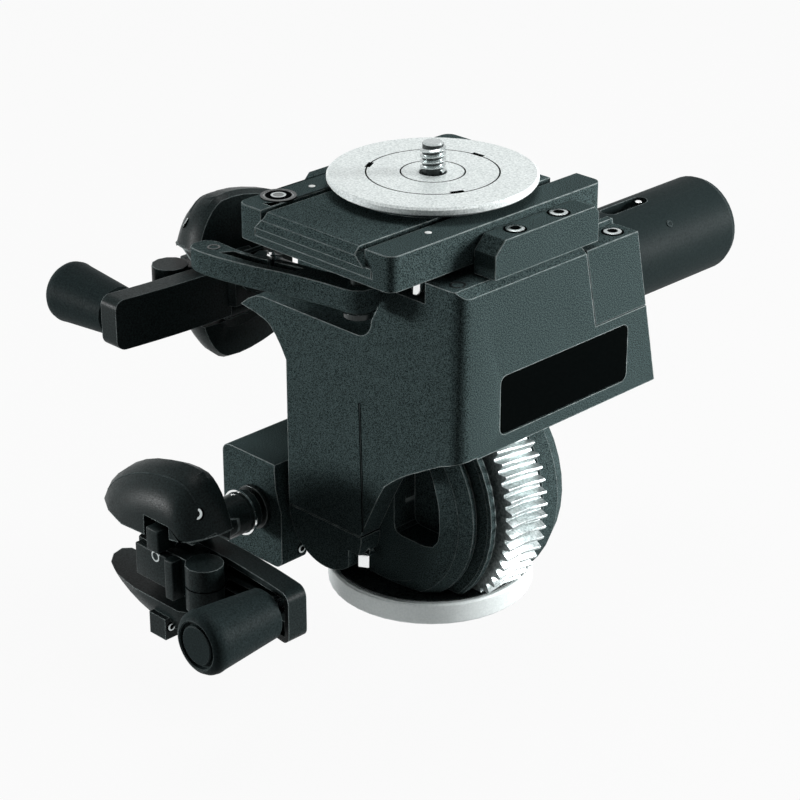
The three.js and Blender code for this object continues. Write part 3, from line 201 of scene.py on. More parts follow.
def brushed_group():
    """Fine lines of turned or brushed metal, drawn out by the stretch."""
    group = new_group(
        "brushed lines",
        [("NodeSocketVector", "Stretch", (1.0, 1.0, 1.0)), ("NodeSocketFloat", "Scale", LINE_SCALE)],
        [("NodeSocketFloat", "Lines")],
    )
    start = node(group, "NodeGroupInput")
    end = node(group, "NodeGroupOutput")
    place = node(group, "ShaderNodeTexCoord")
    drawn = node(group, "ShaderNodeVectorMath", operation="MULTIPLY")
    link(group, place.outputs["Object"], drawn.inputs[0])
    link(group, start.outputs["Stretch"], drawn.inputs[1])
    noise = node(group, "ShaderNodeTexNoise", in_Detail=2.0)
    link(group, drawn.outputs[0], noise.inputs["Vector"])
    link(group, start.outputs["Scale"], noise.inputs["Scale"])
    link(group, map_range(group, noise.outputs["Fac"], *LINE_RANGE, 0.0, 1.0), end.inputs["Lines"])
    return group


GRAIN = grain_group()
EDGE_HIGHLIGHT = painted_highlight_group()
BRUSHED = brushed_group()


# Finishes

def use_group(tree, group, **values):
    made = tree.nodes.new("ShaderNodeGroup")
    made.node_tree = group
    for name, value in values.items():
        made.inputs[name].default_value = value
    return made


def mix_colour(tree, mask, dark, light):
    mix = node(tree, "ShaderNodeMix", data_type="RGBA")
    link(tree, mask, mix.inputs["Factor"])
    for socket, colour in ((MIX_A, dark), (MIX_B, light)):
        if isinstance(colour, tuple):
            mix.inputs[socket].default_value = (*colour, 1)
        else:
            link(tree, colour, mix.inputs[socket])
    return mix.outputs[MIX_RESULT]


def bump(tree, shader, height, strength, distance):
    made = node(tree, "ShaderNodeBump", in_Strength=strength, in_Distance=distance)
    link(tree, height, made.inputs["Height"])
    link(tree, made.outputs["Normal"], shader.inputs["Normal"])


def start_material(name, roughness, metallic, **settings):
    material = bpy.data.materials.new(name)
    material.use_nodes = True
    tree = material.node_tree
    shader = tree.nodes["Principled BSDF"]
    shader.inputs["Roughness"].default_value = roughness
    shader.inputs["Metallic"].default_value = metallic
    for socket, value in settings.items():
        shader.inputs[socket.replace("_", " ")].default_value = value
    return material, tree, shader


def coated(name, dark, light, roughness, scale, contrast, relief, edge_highlight, edge_highlight_amount, **settings):
    """Paint or plastic: speckled colour and gloss, with paler lines painted on the edges as highlights."""
    material, tree, shader = start_material(name, roughness, 0.0, **settings)
    grain = use_group(tree, GRAIN, Scale=scale, Contrast=contrast)
    # The edge mask lays a paler colour along every edge as painted highlight.
    edge = use_group(tree, EDGE_HIGHLIGHT, Amount=edge_highlight_amount)
    colour = mix_colour(tree, grain.outputs["Speckle"], dark, light)
    link(tree, mix_colour(tree, edge.outputs["Mask"], colour, edge_highlight), shader.inputs["Base Color"])
    dullest, glossiest = roughness + COAT_GLOSS_SPREAD, roughness - COAT_GLOSS_SPREAD
    gloss = map_range(tree, grain.outputs["Speckle"], 0.0, 1.0, dullest, glossiest)
    link(tree, gloss, shader.inputs["Roughness"])
    bump(tree, shader, grain.outputs["Height"], relief, COAT_BUMP)
    return material


def metal(name, dark, light, roughness, metallic, stretch, grain_scale, grain_contrast, relief):
    """Bare metal: fine grain in its colour, and brushed lines in its gloss."""
    material, tree, shader = start_material(name, roughness, metallic)
    grain = use_group(tree, GRAIN, Scale=grain_scale, Contrast=grain_contrast)
    lines = use_group(tree, BRUSHED, Stretch=stretch)
    link(tree, mix_colour(tree, grain.outputs["Speckle"], dark, light), shader.inputs["Base Color"])
    glossiest, dullest = roughness - LINE_SHINE, roughness + LINE_DULLNESS
    gloss = map_range(tree, lines.outputs["Lines"], 0.0, 1.0, glossiest, dullest)
    link(tree, gloss, shader.inputs["Roughness"])
    bump(tree, shader, lines.outputs["Lines"], relief, METAL_BUMP)
    return material


# The paler edge colour given to each finish is painted highlight along its edges.
COAT = coated(
    "textured charcoal coat", dark=(0.006, 0.0105, 0.0105), light=(0.078, 0.113, 0.114),
    roughness=0.6, scale=2500, contrast=5.0, relief=0.5,
    edge_highlight=(0.46, 0.52, 0.515), edge_highlight_amount=1.0, Specular_IOR_Level=0.008,
)
TUBE_COAT = coated(
    "smooth charcoal coat", dark=(0.008, 0.0125, 0.013), light=(0.018, 0.027, 0.0275),
    roughness=0.5, scale=1400, contrast=1.6, relief=0.15,
    edge_highlight=(0.3, 0.35, 0.35), edge_highlight_amount=0.6, Specular_IOR_Level=0.02,
)
MOULDED = coated(
    "black moulding", dark=(0.003, 0.005, 0.005), light=(0.02, 0.03, 0.0305),
    roughness=0.38, scale=1500, contrast=2.6, relief=0.3,
    edge_highlight=(0.34, 0.4, 0.4), edge_highlight_amount=0.7, Specular_IOR_Level=0.06,
)
GRIP = coated(
    "matt grip plastic", dark=(0.006, 0.0095, 0.01), light=(0.022, 0.033, 0.034),
    roughness=0.5, scale=1500, contrast=2.2, relief=0.25,
    edge_highlight=(0.14, 0.17, 0.17), edge_highlight_amount=0.4, Specular_IOR_Level=0.02,
)
# Near-black with no gloss, laid into grooves, seams, slots, screw recesses, sockets and the level's dark ring
# as painted shade.
SHADE_BLACK = coated(
    "unlit black", dark=(0.001, 0.0015, 0.0015), light=(0.004, 0.005, 0.005),
    roughness=0.7, scale=900, contrast=1.0, relief=0.1,
    edge_highlight=(0.004, 0.005, 0.005), edge_highlight_amount=0.0, Specular_IOR_Level=0.0,
)
PLATE = coated(
    "bare black plate", dark=(0.001, 0.0015, 0.0015), light=(0.003, 0.004, 0.004),
    roughness=0.25, scale=800, contrast=0.8, relief=0.02,
    edge_highlight=(0.01, 0.012, 0.012), edge_highlight_amount=0.2, Specular_IOR_Level=0.0,
)
WHITE_PAINT = coated(
    "white index paint", dark=(0.7, 0.74, 0.73), light=(0.86, 0.88, 0.87),
    roughness=0.5, scale=900, contrast=1.0, relief=0.1,
    edge_highlight=(0.7, 0.72, 0.72), edge_highlight_amount=0.2,
)
GLASS = coated(
    "level glass", dark=(0.03, 0.045, 0.045), light=(0.07, 0.09, 0.085),
    roughness=0.08, scale=300, contrast=0.5, relief=0.0,
    edge_highlight=(0.1, 0.12, 0.12), edge_highlight_amount=0.1, Coat_Weight=0.3,
)
ALUMINIUM = metal(
    "grained aluminium", dark=(0.44, 0.49, 0.485), light=(0.9, 0.95, 0.94),
    roughness=0.45, metallic=0.25, stretch=(1.0, 1.0, 6.0),
    grain_scale=1250, grain_contrast=2.2, relief=0.2,
)
RING_ALUMINIUM = metal(
    "smooth aluminium", dark=(0.6, 0.66, 0.655), light=(0.84, 0.89, 0.885),
    roughness=0.45, metallic=0.25, stretch=(0.3, 0.3, 5.0),
    grain_scale=1100, grain_contrast=1.2, relief=0.15,
)
TEETH = metal(
    "machined teeth", dark=(0.14, 0.18, 0.18), light=(0.62, 0.68, 0.68),
    roughness=0.34, metallic=0.6, stretch=(1.0, 0.1, 1.0),
    grain_scale=1000, grain_contrast=2.2, relief=0.3,
)
STEEL = metal(
    "plain steel", dark=(0.3, 0.34, 0.34), light=(0.6, 0.64, 0.64),
    roughness=0.25, metallic=1.0, stretch=(1.0, 1.0, 0.2),
    grain_scale=900, grain_contrast=1.2, relief=0.15,
)
BLACK_STEEL = metal(
    "blackened steel", dark=(0.006, 0.009, 0.009), light=(0.03, 0.038, 0.038),
    roughness=0.3, metallic=0.5, stretch=(1.0, 1.0, 0.2),
    grain_scale=900, grain_contrast=1.2, relief=0.12,
)
CHROME = metal(
    "bright chrome", dark=(0.78, 0.8, 0.8), light=(0.92, 0.93, 0.93),
    roughness=0.12, metallic=1.0, stretch=(1.0, 1.0, 1.0),
    grain_scale=700, grain_contrast=0.6, relief=0.02,
)
BRONZE = metal(
    "gear bronze", dark=(0.28, 0.18, 0.07), light=(0.5, 0.36, 0.16),
    roughness=0.38, metallic=1.0, stretch=(1.0, 0.2, 1.0),
    grain_scale=900, grain_contrast=1.2, relief=0.15,
)

NODE_FINISH = {
    "base_disc": RING_ALUMINIUM, "base_plate": BLACK_STEEL, "pan_worm_wheel": BRONZE,
    "pan_spindle": STEEL, "pan_retaining_nut": STEEL, "turntable": COAT, "side_worm_wheel": TEETH,
    "rear_cheek": COAT, "pivot_shaft": STEEL, "pan_gear_case": COAT, "pan_case_cover": COAT,
    "pan_worm": STEEL, "pan_drive_gear": STEEL, "housing": COAT, "leg_foot": COAT, "hinge_cap": COAT,
    "cheek_block_right": COAT, "cheek_block_left": COAT, "label_plate": PLATE, "platform_stop": CHROME,
    "spring_tube": TUBE_COAT, "nod_gear_case": COAT, "platform": COAT, "nod_shaft": STEEL,
    "nod_worm_wheel": BRONZE, "spring_pinion": STEEL, "bubble_level": GLASS,
    # The lock lever's pin is blackened steel as painted shade, for the shadow it lies in under the platform.
    "lock_lever_pin": BLACK_STEEL, "nod_worm": STEEL, "nod_knob": MOULDED, "spring_rod": STEEL,
    "spring_pointer": CHROME, "slider_plate": COAT, "lock_lever": COAT,
}
UNIT_NODE_FINISH = {
    "shaft": BLACK_STEEL, "shaft_collar": BLACK_STEEL, "hub": MOULDED, "crank_arm": MOULDED,
    "grip_pin": STEEL, "upper_wing": MOULDED, "lower_wing": MOULDED,
}
EDGE_ROUND = {"side_worm_wheel": 0.12, "housing": 0.5, "turntable": 0.45, "platform": 0.5}
UNIT_EDGE_ROUND = {"hub": 0.7, "crank_arm": 0.7, "upper_wing": 0.9, "lower_wing": 0.9}
UNITS = ("pan", "side")
for unit_name in UNITS:
    for unit_part, finish in UNIT_NODE_FINISH.items():
        NODE_FINISH[f"{unit_name}_{unit_part}"] = finish
    for unit_part, width in UNIT_EDGE_ROUND.items():
        EDGE_ROUND[f"{unit_name}_{unit_part}"] = width
PLAIN_ROUND = 0.35
SOFT_SEGMENTS = 2
SHARP_ANGLE = math.radians(32)


# Sizes and places of the pieces, in millimetres and in the model's frame

UNMOVED = Matrix.Identity(4)
TINY_STEPS, SMALL_STEPS, PLAIN_STEPS = 24, 32, 48
TURNED_MERGE, COPY_MERGE = 0.001, 0.002
FLAT_ANGLE = math.radians(0.5)
BOX_SEGMENTS = 3

# Housing, slider and lever; an arch move is a corner seen from the front and how far it moves, as (x, z)
ARCH_MOVES = (((4.9, 52.0), (4.7, -0.6)), ((18.8, 66.7), (1.8, -3.7)))
ARCH_ROUND, ARCH_SEGMENTS = 5.5, 5
NOTCH_CORNER, NOTCH_ROUND, NOTCH_SEGMENTS = (6.0, 113.0), 7.4, 7
CORNER_REACH = 0.4
SLIDER_CUT = 154.1
LEVER_BOTTOM, LEVER_SLACK, LEVER_LEAST_SIDE = 129.5, 0.01, 0.2
LEVER_UNDERCUT, LEVER_SEGMENTS = 3.2, 4
LEVER_EDGE_ANGLE = 1.0

# Socket screws, some sizes as shares of the head's radius
RECESS_SHARE, SOCKET_SHARE, HEAD_FACE_SHARE = 1.28, 0.6, 0.88
RECESS_DEPTH, RECESS_PROUD = 0.6, 0.04
HEAD_DEPTH, HEAD_EDGE, HEAD_TOP = 0.4, 0.3, 0.45
SOCKET_DEPTH, SOCKET_LAP = 0.5, 0.1

# Camera disc; a slot is (radius, degrees)
DISC_LOW, DISC_HIGH = (corner.z / MM for corner in map(Vector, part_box("camera_disc")))
DISC_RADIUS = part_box("camera_disc")[1][0] / MM
DISC_STEPS = 128
DISC_WAIST, DISC_WAIST_TOP, DISC_RIM_LOW = 0.7, 1.3, 1.5
DISC_FOOT, DISC_FOOT_CHAMFER = 0.5, 0.6
DISC_CHAMFER = 0.8
BORE_GAP, BORE_CHAMFER = 0.3, 0.3
DISC_GROOVES = (11.8, 24.4)
GROOVE_HALF, GROOVE_FLOOR_HALF, GROOVE_DEPTH = 0.3, 0.2, 0.45
LINE_HALF, LINE_DEPTH, LINE_PROUD = 0.27, 0.5, 0.01
DISC_SLOTS = ((24.2, 208), (24.8, 92), (23.4, -24))
SLOT_LENGTH, SLOT_WIDTH, SLOT_DEPTH, SLOT_PROUD, SLOT_ROUND = 5.2, 2.0, 0.4, 0.06, 0.05

# Camera screw; the ridge's shares of the pitch are its foot, the crest's two edges and its far foot
SCREW_LOW, SCREW_HIGH = (corner.z / MM for corner in map(Vector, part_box("camera_screw")))
SCREW_RADIUS = 4.76
SCREW_HEAD_RADIUS, SCREW_HEAD_HEIGHT = 8.0, 3.4
CORE_RADIUS, CORE_START = 3.9, 3.6
TIP_LENGTH, TIP_RADIUS = 0.6, 3.4
THREAD_ROOT, THREAD_PITCH, THREAD_TURNS, THREAD_END = 3.8, 2.1, 4.4, 0.5
RIDGE_SHARES = (0.1, 0.42, 0.58, 0.9)
THREAD_STEPS = 28
THREAD_MERGE = 0.02

# Platform; a profile has points of (radius, height over the surface),
# a level ring is (name, inner radius, outer radius, height, finish)
PLATFORM_TOP = 160.4
INDEX_DOTS = ((31.0, -34.0), (-32.0, -30.2))
DOT_PROFILE = ((0, -0.3), (1.25, -0.3), (1.25, 0.08), (1.05, 0.14), (0, 0.14))
LEVEL, LEVEL_SUNK, LEVEL_STEPS = (-32.8, -46.0), 0.3, 40
# The level's dark ring is painted shade.
LEVEL_RINGS = (
    ("level_bezel", 5.6, 6.6, 0.5, BLACK_STEEL), ("level_bright_ring", 4.9, 5.7, 0.42, STEEL),
    ("level_dark_ring", 2.7, 4.9, 0.56, SHADE_BLACK), ("level_inner_ring", 2.0, 2.8, 0.6, STEEL),
)
CHEEK_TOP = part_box("cheek_block_right")[1][2] / MM
CHEEK_SCREWS = ("right_1", "right_2", "left_1", "left_2")
CHEEK_SCREW_RADIUS = 3.4
CAP_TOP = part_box("hinge_cap")[1][2] / MM
CAP_SCREW = (43.8, 50.2)
HOUSING_PIN = (42.6, -31.0, 143.3)
HOUSING_PIN_PROFILE = ((2.1, -0.4), (3.0, -0.4), (3.0, 0.1), (2.7, 0.2), (2.2, 0.1), (2.1, -0.4))
LEDGE_LOW, LEDGE_HIGH, LEDGE_ROUND = (-29.6, -60.4, 150.0), (29.6, -32.0, 153.8), 0.25

# Lever
LEVER_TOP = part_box("lock_lever")[1][2] / MM
CATCH_PIN, END_RING = (-27.1, -55.2), (-52.1, -60.9)
CATCH_PIN_PROFILE = ((0, -6), (1.6, -6), (1.6, 2.4), (1.2, 2.9), (1.2, 3.8), (0, 3.8))
END_RING_PROFILE = ((1.7, 0.02), (2.5, 0.02), (2.4, 0.16), (1.8, 0.16), (1.7, 0.02))

# Spring tube: a guide line, whose black groove strip is painted shade, and a small hole at one angle; a strip
# is (name, from, to, finish)
TUBE_RADIUS, TUBE_HEIGHT = 19.8, 105.0
GUIDE_ANGLE = math.radians(41)
GUIDE_STRIPS = (("tube_guide_groove", -1.2, 0.8, SHADE_BLACK), ("tube_guide_edge", 0.8, 1.15, GRIP))
GUIDE_Y, GUIDE_START, GUIDE_END = 98.5, -1.0, 21.0
GUIDE_DEPTH, GUIDE_PROUD = 0.3, 0.04
SET_HOLE_Y = 120.3
SET_HOLE_PROFILE = ((0, 0.03), (0.8, 0.03), (1.0, 0.22), (1.5, 0.22), (1.7, -0.3), (0, -0.3))

# Leg and gear case
# The leg's crease is a black strip of painted shade, with a narrow strip in the grip plastic's finish beside
# it.
CREASE_STRIPS = (("leg_crease", -0.25, 0.25, SHADE_BLACK), ("leg_crease_edge", -0.55, -0.28, GRIP))
CREASE_FOOT, CREASE_LENGTH, CREASE_LEAN = (1.0, -37.5, 33.0), 53, math.radians(1.7)
CREASE_PROUD, CREASE_DEPTH = 0.1, 0.3
FOOT_BOLT = (-2.3, -32.7, 19.1)
FOOT_BOLT_RADIUS, FOOT_BOLT_HEIGHT, FOOT_BOLT_ROUND = 4.1, 5.4, 0.4
CASE_SCREW, CASE_SCREW_RADIUS = (-41.5, -30.0, 7.0), 1.8

# Crank units, in their own frame: x along the crank, y up, z away from the case.
# The skew moves an x to another, the rim gives the height of the wing's edge at an x.
HUB_FRONT, HUB_SHIFT, HUB_SHIFT_START = 57.4, 11.0, 41.0
WING_LONG, WING_ROUND, WING_SHIFT = 39.0, 35.0, 2.0
WING_SKEW = ((-37.0, -39.0), (-8.1, 1.0), (6.3, 15.4), (41.0, 31.0))
WING_EDGE, WING_EDGE_REACH = 10.6, 0.05
WING_RIM = ((-39.0, 10.6), (-8.0, 7.6), (1.0, 8.8), (15.4, 12.0), (31.0, 15.0))
SEAM_PROFILE = ((31.9, 46.0), (32.55, 46.05), (32.35, 46.5), (31.7, 46.6), (31.9, 46.0))
SEAM_LOW, SEAM_END, SEAM_STEPS = 14, 22, 96
GRIP_X, GRIP_Y, GRIP_START, GRIP_END = 59.5, -4.4, 46.0, 79.5
GRIP_RADIUS, GRIP_WAIST, GRIP_BORE, GRIP_CHAMFER, GRIP_STEPS = 12.4, 10.0, 3.4, 1.2, 56
# The nose as (inward from the radius, back from the end), the cap as (radius, back from the end)
GRIP_NOSE = ((0.3, 6.5), (0, 4.4), (0.35, 2.4), (1.4, 0.8), (2.9, 0))
GRIP_CAP = ((9.0, 0.3), (8.7, 1.8), (7.7, 1.8), (7.5, 0.4), (7.1, 0.15), (0, 0.15))
# A box is (name, low corner, high corner, rounding, node it stands for)
UNIT_BOXES = (
    ("release_key_new", (5.6, 5.6, 49.0), (12.4, 15.2, 57.0), 0.7, "release_key"),
    ("hub_cover", (-3.0, -8.5, 51.5), (15.0, 4.8, 55.5), 0.5, None),
    ("hub_cheek", (15.2, -11.5, 50.0), (19.8, 5.0, 56.8), 0.6, None),
    ("arm_rib_1", (27.5, -4.6, 34.0), (56.0, -2.0, 39.0), 0.5, None),
    ("arm_rib_2", (27.5, -8.6, 34.0), (56.0, -7.4, 40.0), 0.5, None),
)
HOLE_RIM = (9.3, 3.4, 0)
HOLE_RIM_PROFILE = ((1.5, 55.4), (2.3, 55.4), (2.2, 55.9), (1.6, 55.9), (1.5, 55.4))
BARREL_X, BARREL_Z, BARREL_SEAM = 19.5, 50, (7.3, 7.5, -2.4, -2.1)
# A screw is (name, place, direction it faces, radius, wing it sits in)
UNIT_SCREWS = (
    ("lower_screw", (12.8, -26.6, 52.6), (1, 0, 0), 1.7, "lower_wing"),
    ("wing_screw", (23.6, 23.2, 47.0), (0.5, 0.5, 0.71), 2.2, "upper_wing"),
)
CLIP_SECTION = ((8.5, 5.0), (9.3, 5.0), (9.3, 5.9), (8.5, 5.9))
CLIP_SWEEP, CLIP_START, CLIP_STEPS = math.radians(300), math.radians(-130), 40


# Pieces

def new_object(name, data):
    made = bpy.data.objects.new(name, data)
    bpy.context.scene.collection.objects.link(made)
    return made


def mesh_of(name, shape):
    mesh = bpy.data.meshes.new(name)
    shape.to_mesh(mesh)
    shape.free()
    return mesh


def put_in_scene(name, mesh, finish, body):
    piece = new_object(name, mesh)
    mesh.materials.clear()
    mesh.materials.append(finish)
    for face in mesh.polygons:
        face.use_smooth = True
    mesh.set_sharp_from_angle(angle=SHARP_ANGLE)
    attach(piece, body)
    return piece


def soften_edges(piece, width):
    rounding = piece.modifiers.new("soft edges", "BEVEL")
    rounding.width = width
    rounding.segments = SOFT_SEGMENTS
    rounding.limit_method = "ANGLE"
    rounding.angle_limit = SHARP_ANGLE
    rounding.harden_normals = True


def round_edges(shape, edges, offset, segments, keep_apart=False):
    bmesh.ops.bevel(
        shape, geom=edges, offset=offset, segments=segments, profile=0.5, affect="EDGES", material=-1,
        clamp_overlap=keep_apart,
    )


def cut_off(shape, point, away):
    """Removes what lies past a plane and closes the cut."""
    geometry = shape.verts[:] + shape.edges[:] + shape.faces[:]
    cut = bmesh.ops.bisect_plane(shape, geom=geometry, plane_co=point, plane_no=away, clear_outer=True)
    rim = [part for part in cut["geom_cut"] if isinstance(part, bmesh.types.BMEdge)]
    bmesh.ops.edgenet_fill(shape, edges=rim)


def made_piece(name, shape, place, finish, body, softened=0.0, replaced=()):
    """Puts a shape drawn in millimetres at its place, as a piece of its own."""
    bmesh.ops.transform(shape, matrix=place @ Matrix.Scale(MM, 4), verts=shape.verts)
    bmesh.ops.recalc_face_normals(shape, faces=shape.faces)
    piece = put_in_scene(name, mesh_of(name, shape), finish, body)
    if softened:
        soften_edges(piece, softened * MM)
    if replaced:
        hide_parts(*replaced)


def place_at(x, y, z, facing=(0, 0, 1)):
    turn = Vector(facing).to_track_quat("Z", "Y").to_matrix().to_4x4()
    return Matrix.Translation(Vector((x, y, z)) * MM) @ turn


def turned_shape(profile, steps=PLAIN_STEPS):
    """A turned shape about Z from points of [radius, height]."""
    shape = bmesh.new()
    corners = [shape.verts.new((radius, 0, height)) for radius, height in profile]
    sides = [shape.edges.new(pair) for pair in zip(corners, corners[1:])]
    bmesh.ops.spin(
        shape, geom=corners + sides, cent=(0, 0, 0), axis=(0, 0, 1), angle=math.tau, steps=steps,
        use_merge=True,
    )
    bmesh.ops.remove_doubles(shape, verts=shape.verts, dist=TURNED_MERGE)
    return shape


def ring_shape(inner, outer, low, high, steps):
    return turned_shape([(inner, low), (outer, low), (outer, high), (inner, high), (inner, low)], steps)


def box_shape(low, high, rounding=0.0):
    shape = bmesh.new()
    bmesh.ops.create_cube(shape, size=1.0)
    bmesh.ops.scale(shape, verts=shape.verts, vec=Vector(high) - Vector(low))
    bmesh.ops.translate(shape, verts=shape.verts, vec=(Vector(low) + Vector(high)) / 2)
    if rounding:
        round_edges(shape, shape.edges[:], rounding, BOX_SEGMENTS)
    return shape


def add_socket_screw(name, place, radius, body, replaced=()):
    """A screw head with a six-sided socket, on the surface at its place; the black disc round it and the
    black floor of the socket are painted shade.
    """
    wide = RECESS_SHARE * radius
    recess = turned_shape([
        (0, -RECESS_DEPTH), (wide, -RECESS_DEPTH), (wide, RECESS_PROUD), (0, RECESS_PROUD),
    ], SMALL_STEPS)
    # A black disc round the head, as painted shade of the recess.
    made_piece(name + "_recess", recess, place, SHADE_BLACK, body)
    inner = SOCKET_SHARE * radius
    head = turned_shape([
        (inner, -HEAD_DEPTH), (radius, -HEAD_DEPTH), (radius, HEAD_EDGE),
        (HEAD_FACE_SHARE * radius, HEAD_TOP), (inner, HEAD_TOP), (inner, -HEAD_DEPTH),
    ], SMALL_STEPS)
    made_piece(name + "_head", head, place, STEEL, body, replaced=replaced)
    # A black six-sided floor in the socket, as painted shade.
    hollow = inner + SOCKET_LAP
    socket = bmesh.new()
    bmesh.ops.create_cone(
        socket, cap_ends=True, segments=6, radius1=hollow, radius2=hollow, depth=SOCKET_DEPTH,
    )
    made_piece(name + "_socket", socket, place, SHADE_BLACK, body)


def thread_shape(root, crest, pitch, turns):
    """One helical ridge about Z, with its two ends closed."""
    shape = bmesh.new()
    foot, crest_start, crest_end, far_foot = RIDGE_SHARES
    section = ((root, 0), (root, foot), (crest, crest_start), (crest, crest_end), (root, far_foot), (root, 1))
    chain = [shape.verts.new((radius, 0, share * pitch)) for radius, share in section]
    sides = [shape.edges.new(pair) for pair in zip(chain, chain[1:])]
    steps = int(turns * THREAD_STEPS)
    swept = bmesh.ops.spin(
        shape, geom=chain + sides, cent=(0, 0, 0), axis=(0, 0, 1), dvec=(0, 0, turns * pitch / steps),
        angle=turns * math.tau, steps=steps, use_merge=False,
    )
    last = [part for part in swept["geom_last"] if isinstance(part, bmesh.types.BMVert)]
    for end in (chain, sorted(last, key=lambda corner: corner.co.z)):
        shape.faces.new(end)
    bmesh.ops.remove_doubles(shape, verts=shape.verts, dist=THREAD_MERGE)
    return shape


# Castings that are shaped further than their solids

def corner_edges(shape, x, z):
    """The edges that run along Y through a point seen from the front."""
    reach = CORNER_REACH * MM
    return [
        edge for edge in shape.edges
        if all(max(abs(end.co.x - x * MM), abs(end.co.z - z * MM)) < reach for end in edge.verts)
    ]


def shape_housing(shape):
    """Rounds the arch over the drum and the notch behind the lever."""
    for (x, z), (across, up) in ARCH_MOVES:
        corners = {end for edge in corner_edges(shape, x, z) for end in edge.verts}
        bmesh.ops.translate(shape, verts=list(corners), vec=(across * MM, 0, up * MM))
        arch_edges = corner_edges(shape, x + across, z + up)
        round_edges(shape, arch_edges, ARCH_ROUND * MM, ARCH_SEGMENTS, keep_apart=True)
    notch_edges = corner_edges(shape, *NOTCH_CORNER)
    round_edges(shape, notch_edges, NOTCH_ROUND * MM, NOTCH_SEGMENTS, keep_apart=True)


def shape_slider(shape):
    """Lifts the slider's underside off the ledge under its front end."""
    cut_off(shape, (0, 0, SLIDER_CUT * MM), (0, 0, -1))


def shape_lever(shape):
    """Gives the lever its rounded underside."""
    low = (LEVER_BOTTOM + LEVER_SLACK) * MM
    outline = [
        edge for edge in shape.edges
        if all(end.co.z < low for end in edge.verts) and edge.is_manifold
        and edge.calc_face_angle() > LEVER_EDGE_ANGLE and edge.calc_length() > LEVER_LEAST_SIDE * MM
    ]
    round_edges(shape, outline, LEVER_UNDERCUT * MM, LEVER_SEGMENTS)


def between(knots, value):
    """Follows a bent line through (from, to) points, carried on past its ends."""
    for (low, new_low), (high, new_high) in zip(knots, knots[1:]):
        if value <= high:
            break
    return new_low + (value - low) * (new_high - new_low) / (high - low)


def shape_unit_piece(prefix, part):
    """Moves the middle of a crank unit towards its arm, with the wings drawn after it."""
    def shape_one(shape):
        place = unit_place(prefix)
        bmesh.ops.transform(shape, matrix=Matrix.Scale(1 / MM, 4) @ place.inverted(), verts=shape.verts)
        for corner in shape.verts:
            if part != "hub":
                corner.co.x = between(WING_SKEW, corner.co.x)
            elif corner.co.z > HUB_SHIFT_START:
                corner.co.x += HUB_SHIFT
            if part == "upper_wing" and abs(corner.co.y - WING_EDGE) < WING_EDGE_REACH:
                corner.co.y = between(WING_RIM, corner.co.x)
        bmesh.ops.transform(shape, matrix=place @ Matrix.Scale(MM, 4), verts=shape.verts)
    return shape_one


def unit_place(prefix):
    """The matrix from a crank unit's own frame to the model's, in metres."""
    centre = Vector(JOINT_PLACE[prefix + "_crank_turn"])
    hub_low = Vector(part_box(prefix + "_hub")[0])
    if prefix == "pan":
        centre.y = hub_low.y + HUB_FRONT * MM
        columns = ((1, 0, 0), (0, 0, 1), (0, -1, 0))
    else:
        centre.x = hub_low.x + HUB_FRONT * MM
        columns = ((0, -1, 0), (0, 0, 1), (-1, 0, 0))
    turn = Matrix(columns).transposed().to_4x4()
    return Matrix.Translation(centre) @ turn


SHAPED_FURTHER = {"housing": shape_housing, "slider_plate": shape_slider, "lock_lever": shape_lever}
for unit_name in UNITS:
    for unit_part in ("upper_wing", "lower_wing", "hub"):
        SHAPED_FURTHER[f"{unit_name}_{unit_part}"] = shape_unit_piece(unit_name, unit_part)


def finished_copy(name):
    """A copy of a CAD piece with merged corners, softened edges and its finish."""
    mesh = frame["nodes"][name].data.copy()
    shape = bmesh.new()
    shape.from_mesh(mesh)
    bmesh.ops.remove_doubles(shape, verts=shape.verts, dist=COPY_MERGE * MM)
    bmesh.ops.dissolve_limit(
        shape, angle_limit=FLAT_ANGLE, verts=shape.verts, edges=shape.edges, use_dissolve_boundaries=False,
    )
    if name in SHAPED_FURTHER:
        SHAPED_FURTHER[name](shape)
    shape.to_mesh(mesh)
    shape.free()
    piece = put_in_scene(name + "_finished", mesh, NODE_FINISH[name], BODY_OF[name])
    soften_edges(piece, EDGE_ROUND.get(name, PLAIN_ROUND) * MM)
    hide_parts(name)


# Camera plate and its screw

def disc_profile():
    """The disc's section: a stepped rim and engraved circles in the top."""
    low, high, rim = DISC_LOW, DISC_HIGH, DISC_RADIUS
    bore = SCREW_RADIUS + BORE_GAP
    waist = rim - DISC_WAIST
    points = [
        (bore, low), (waist - DISC_FOOT_CHAMFER, low), (waist, low + DISC_FOOT),
        (waist, low + DISC_WAIST_TOP), (rim, low + DISC_RIM_LOW), (rim, high - DISC_CHAMFER),
        (rim - DISC_CHAMFER, high),
    ]
    for radius in reversed(DISC_GROOVES):
        points += [
            (radius + GROOVE_HALF, high), (radius + GROOVE_FLOOR_HALF, high - GROOVE_DEPTH),
            (radius - GROOVE_FLOOR_HALF, high - GROOVE_DEPTH), (radius - GROOVE_HALF, high),
        ]
    return points + [(bore + BORE_CHAMFER, high), (bore, high - BORE_CHAMFER), (bore, low)]


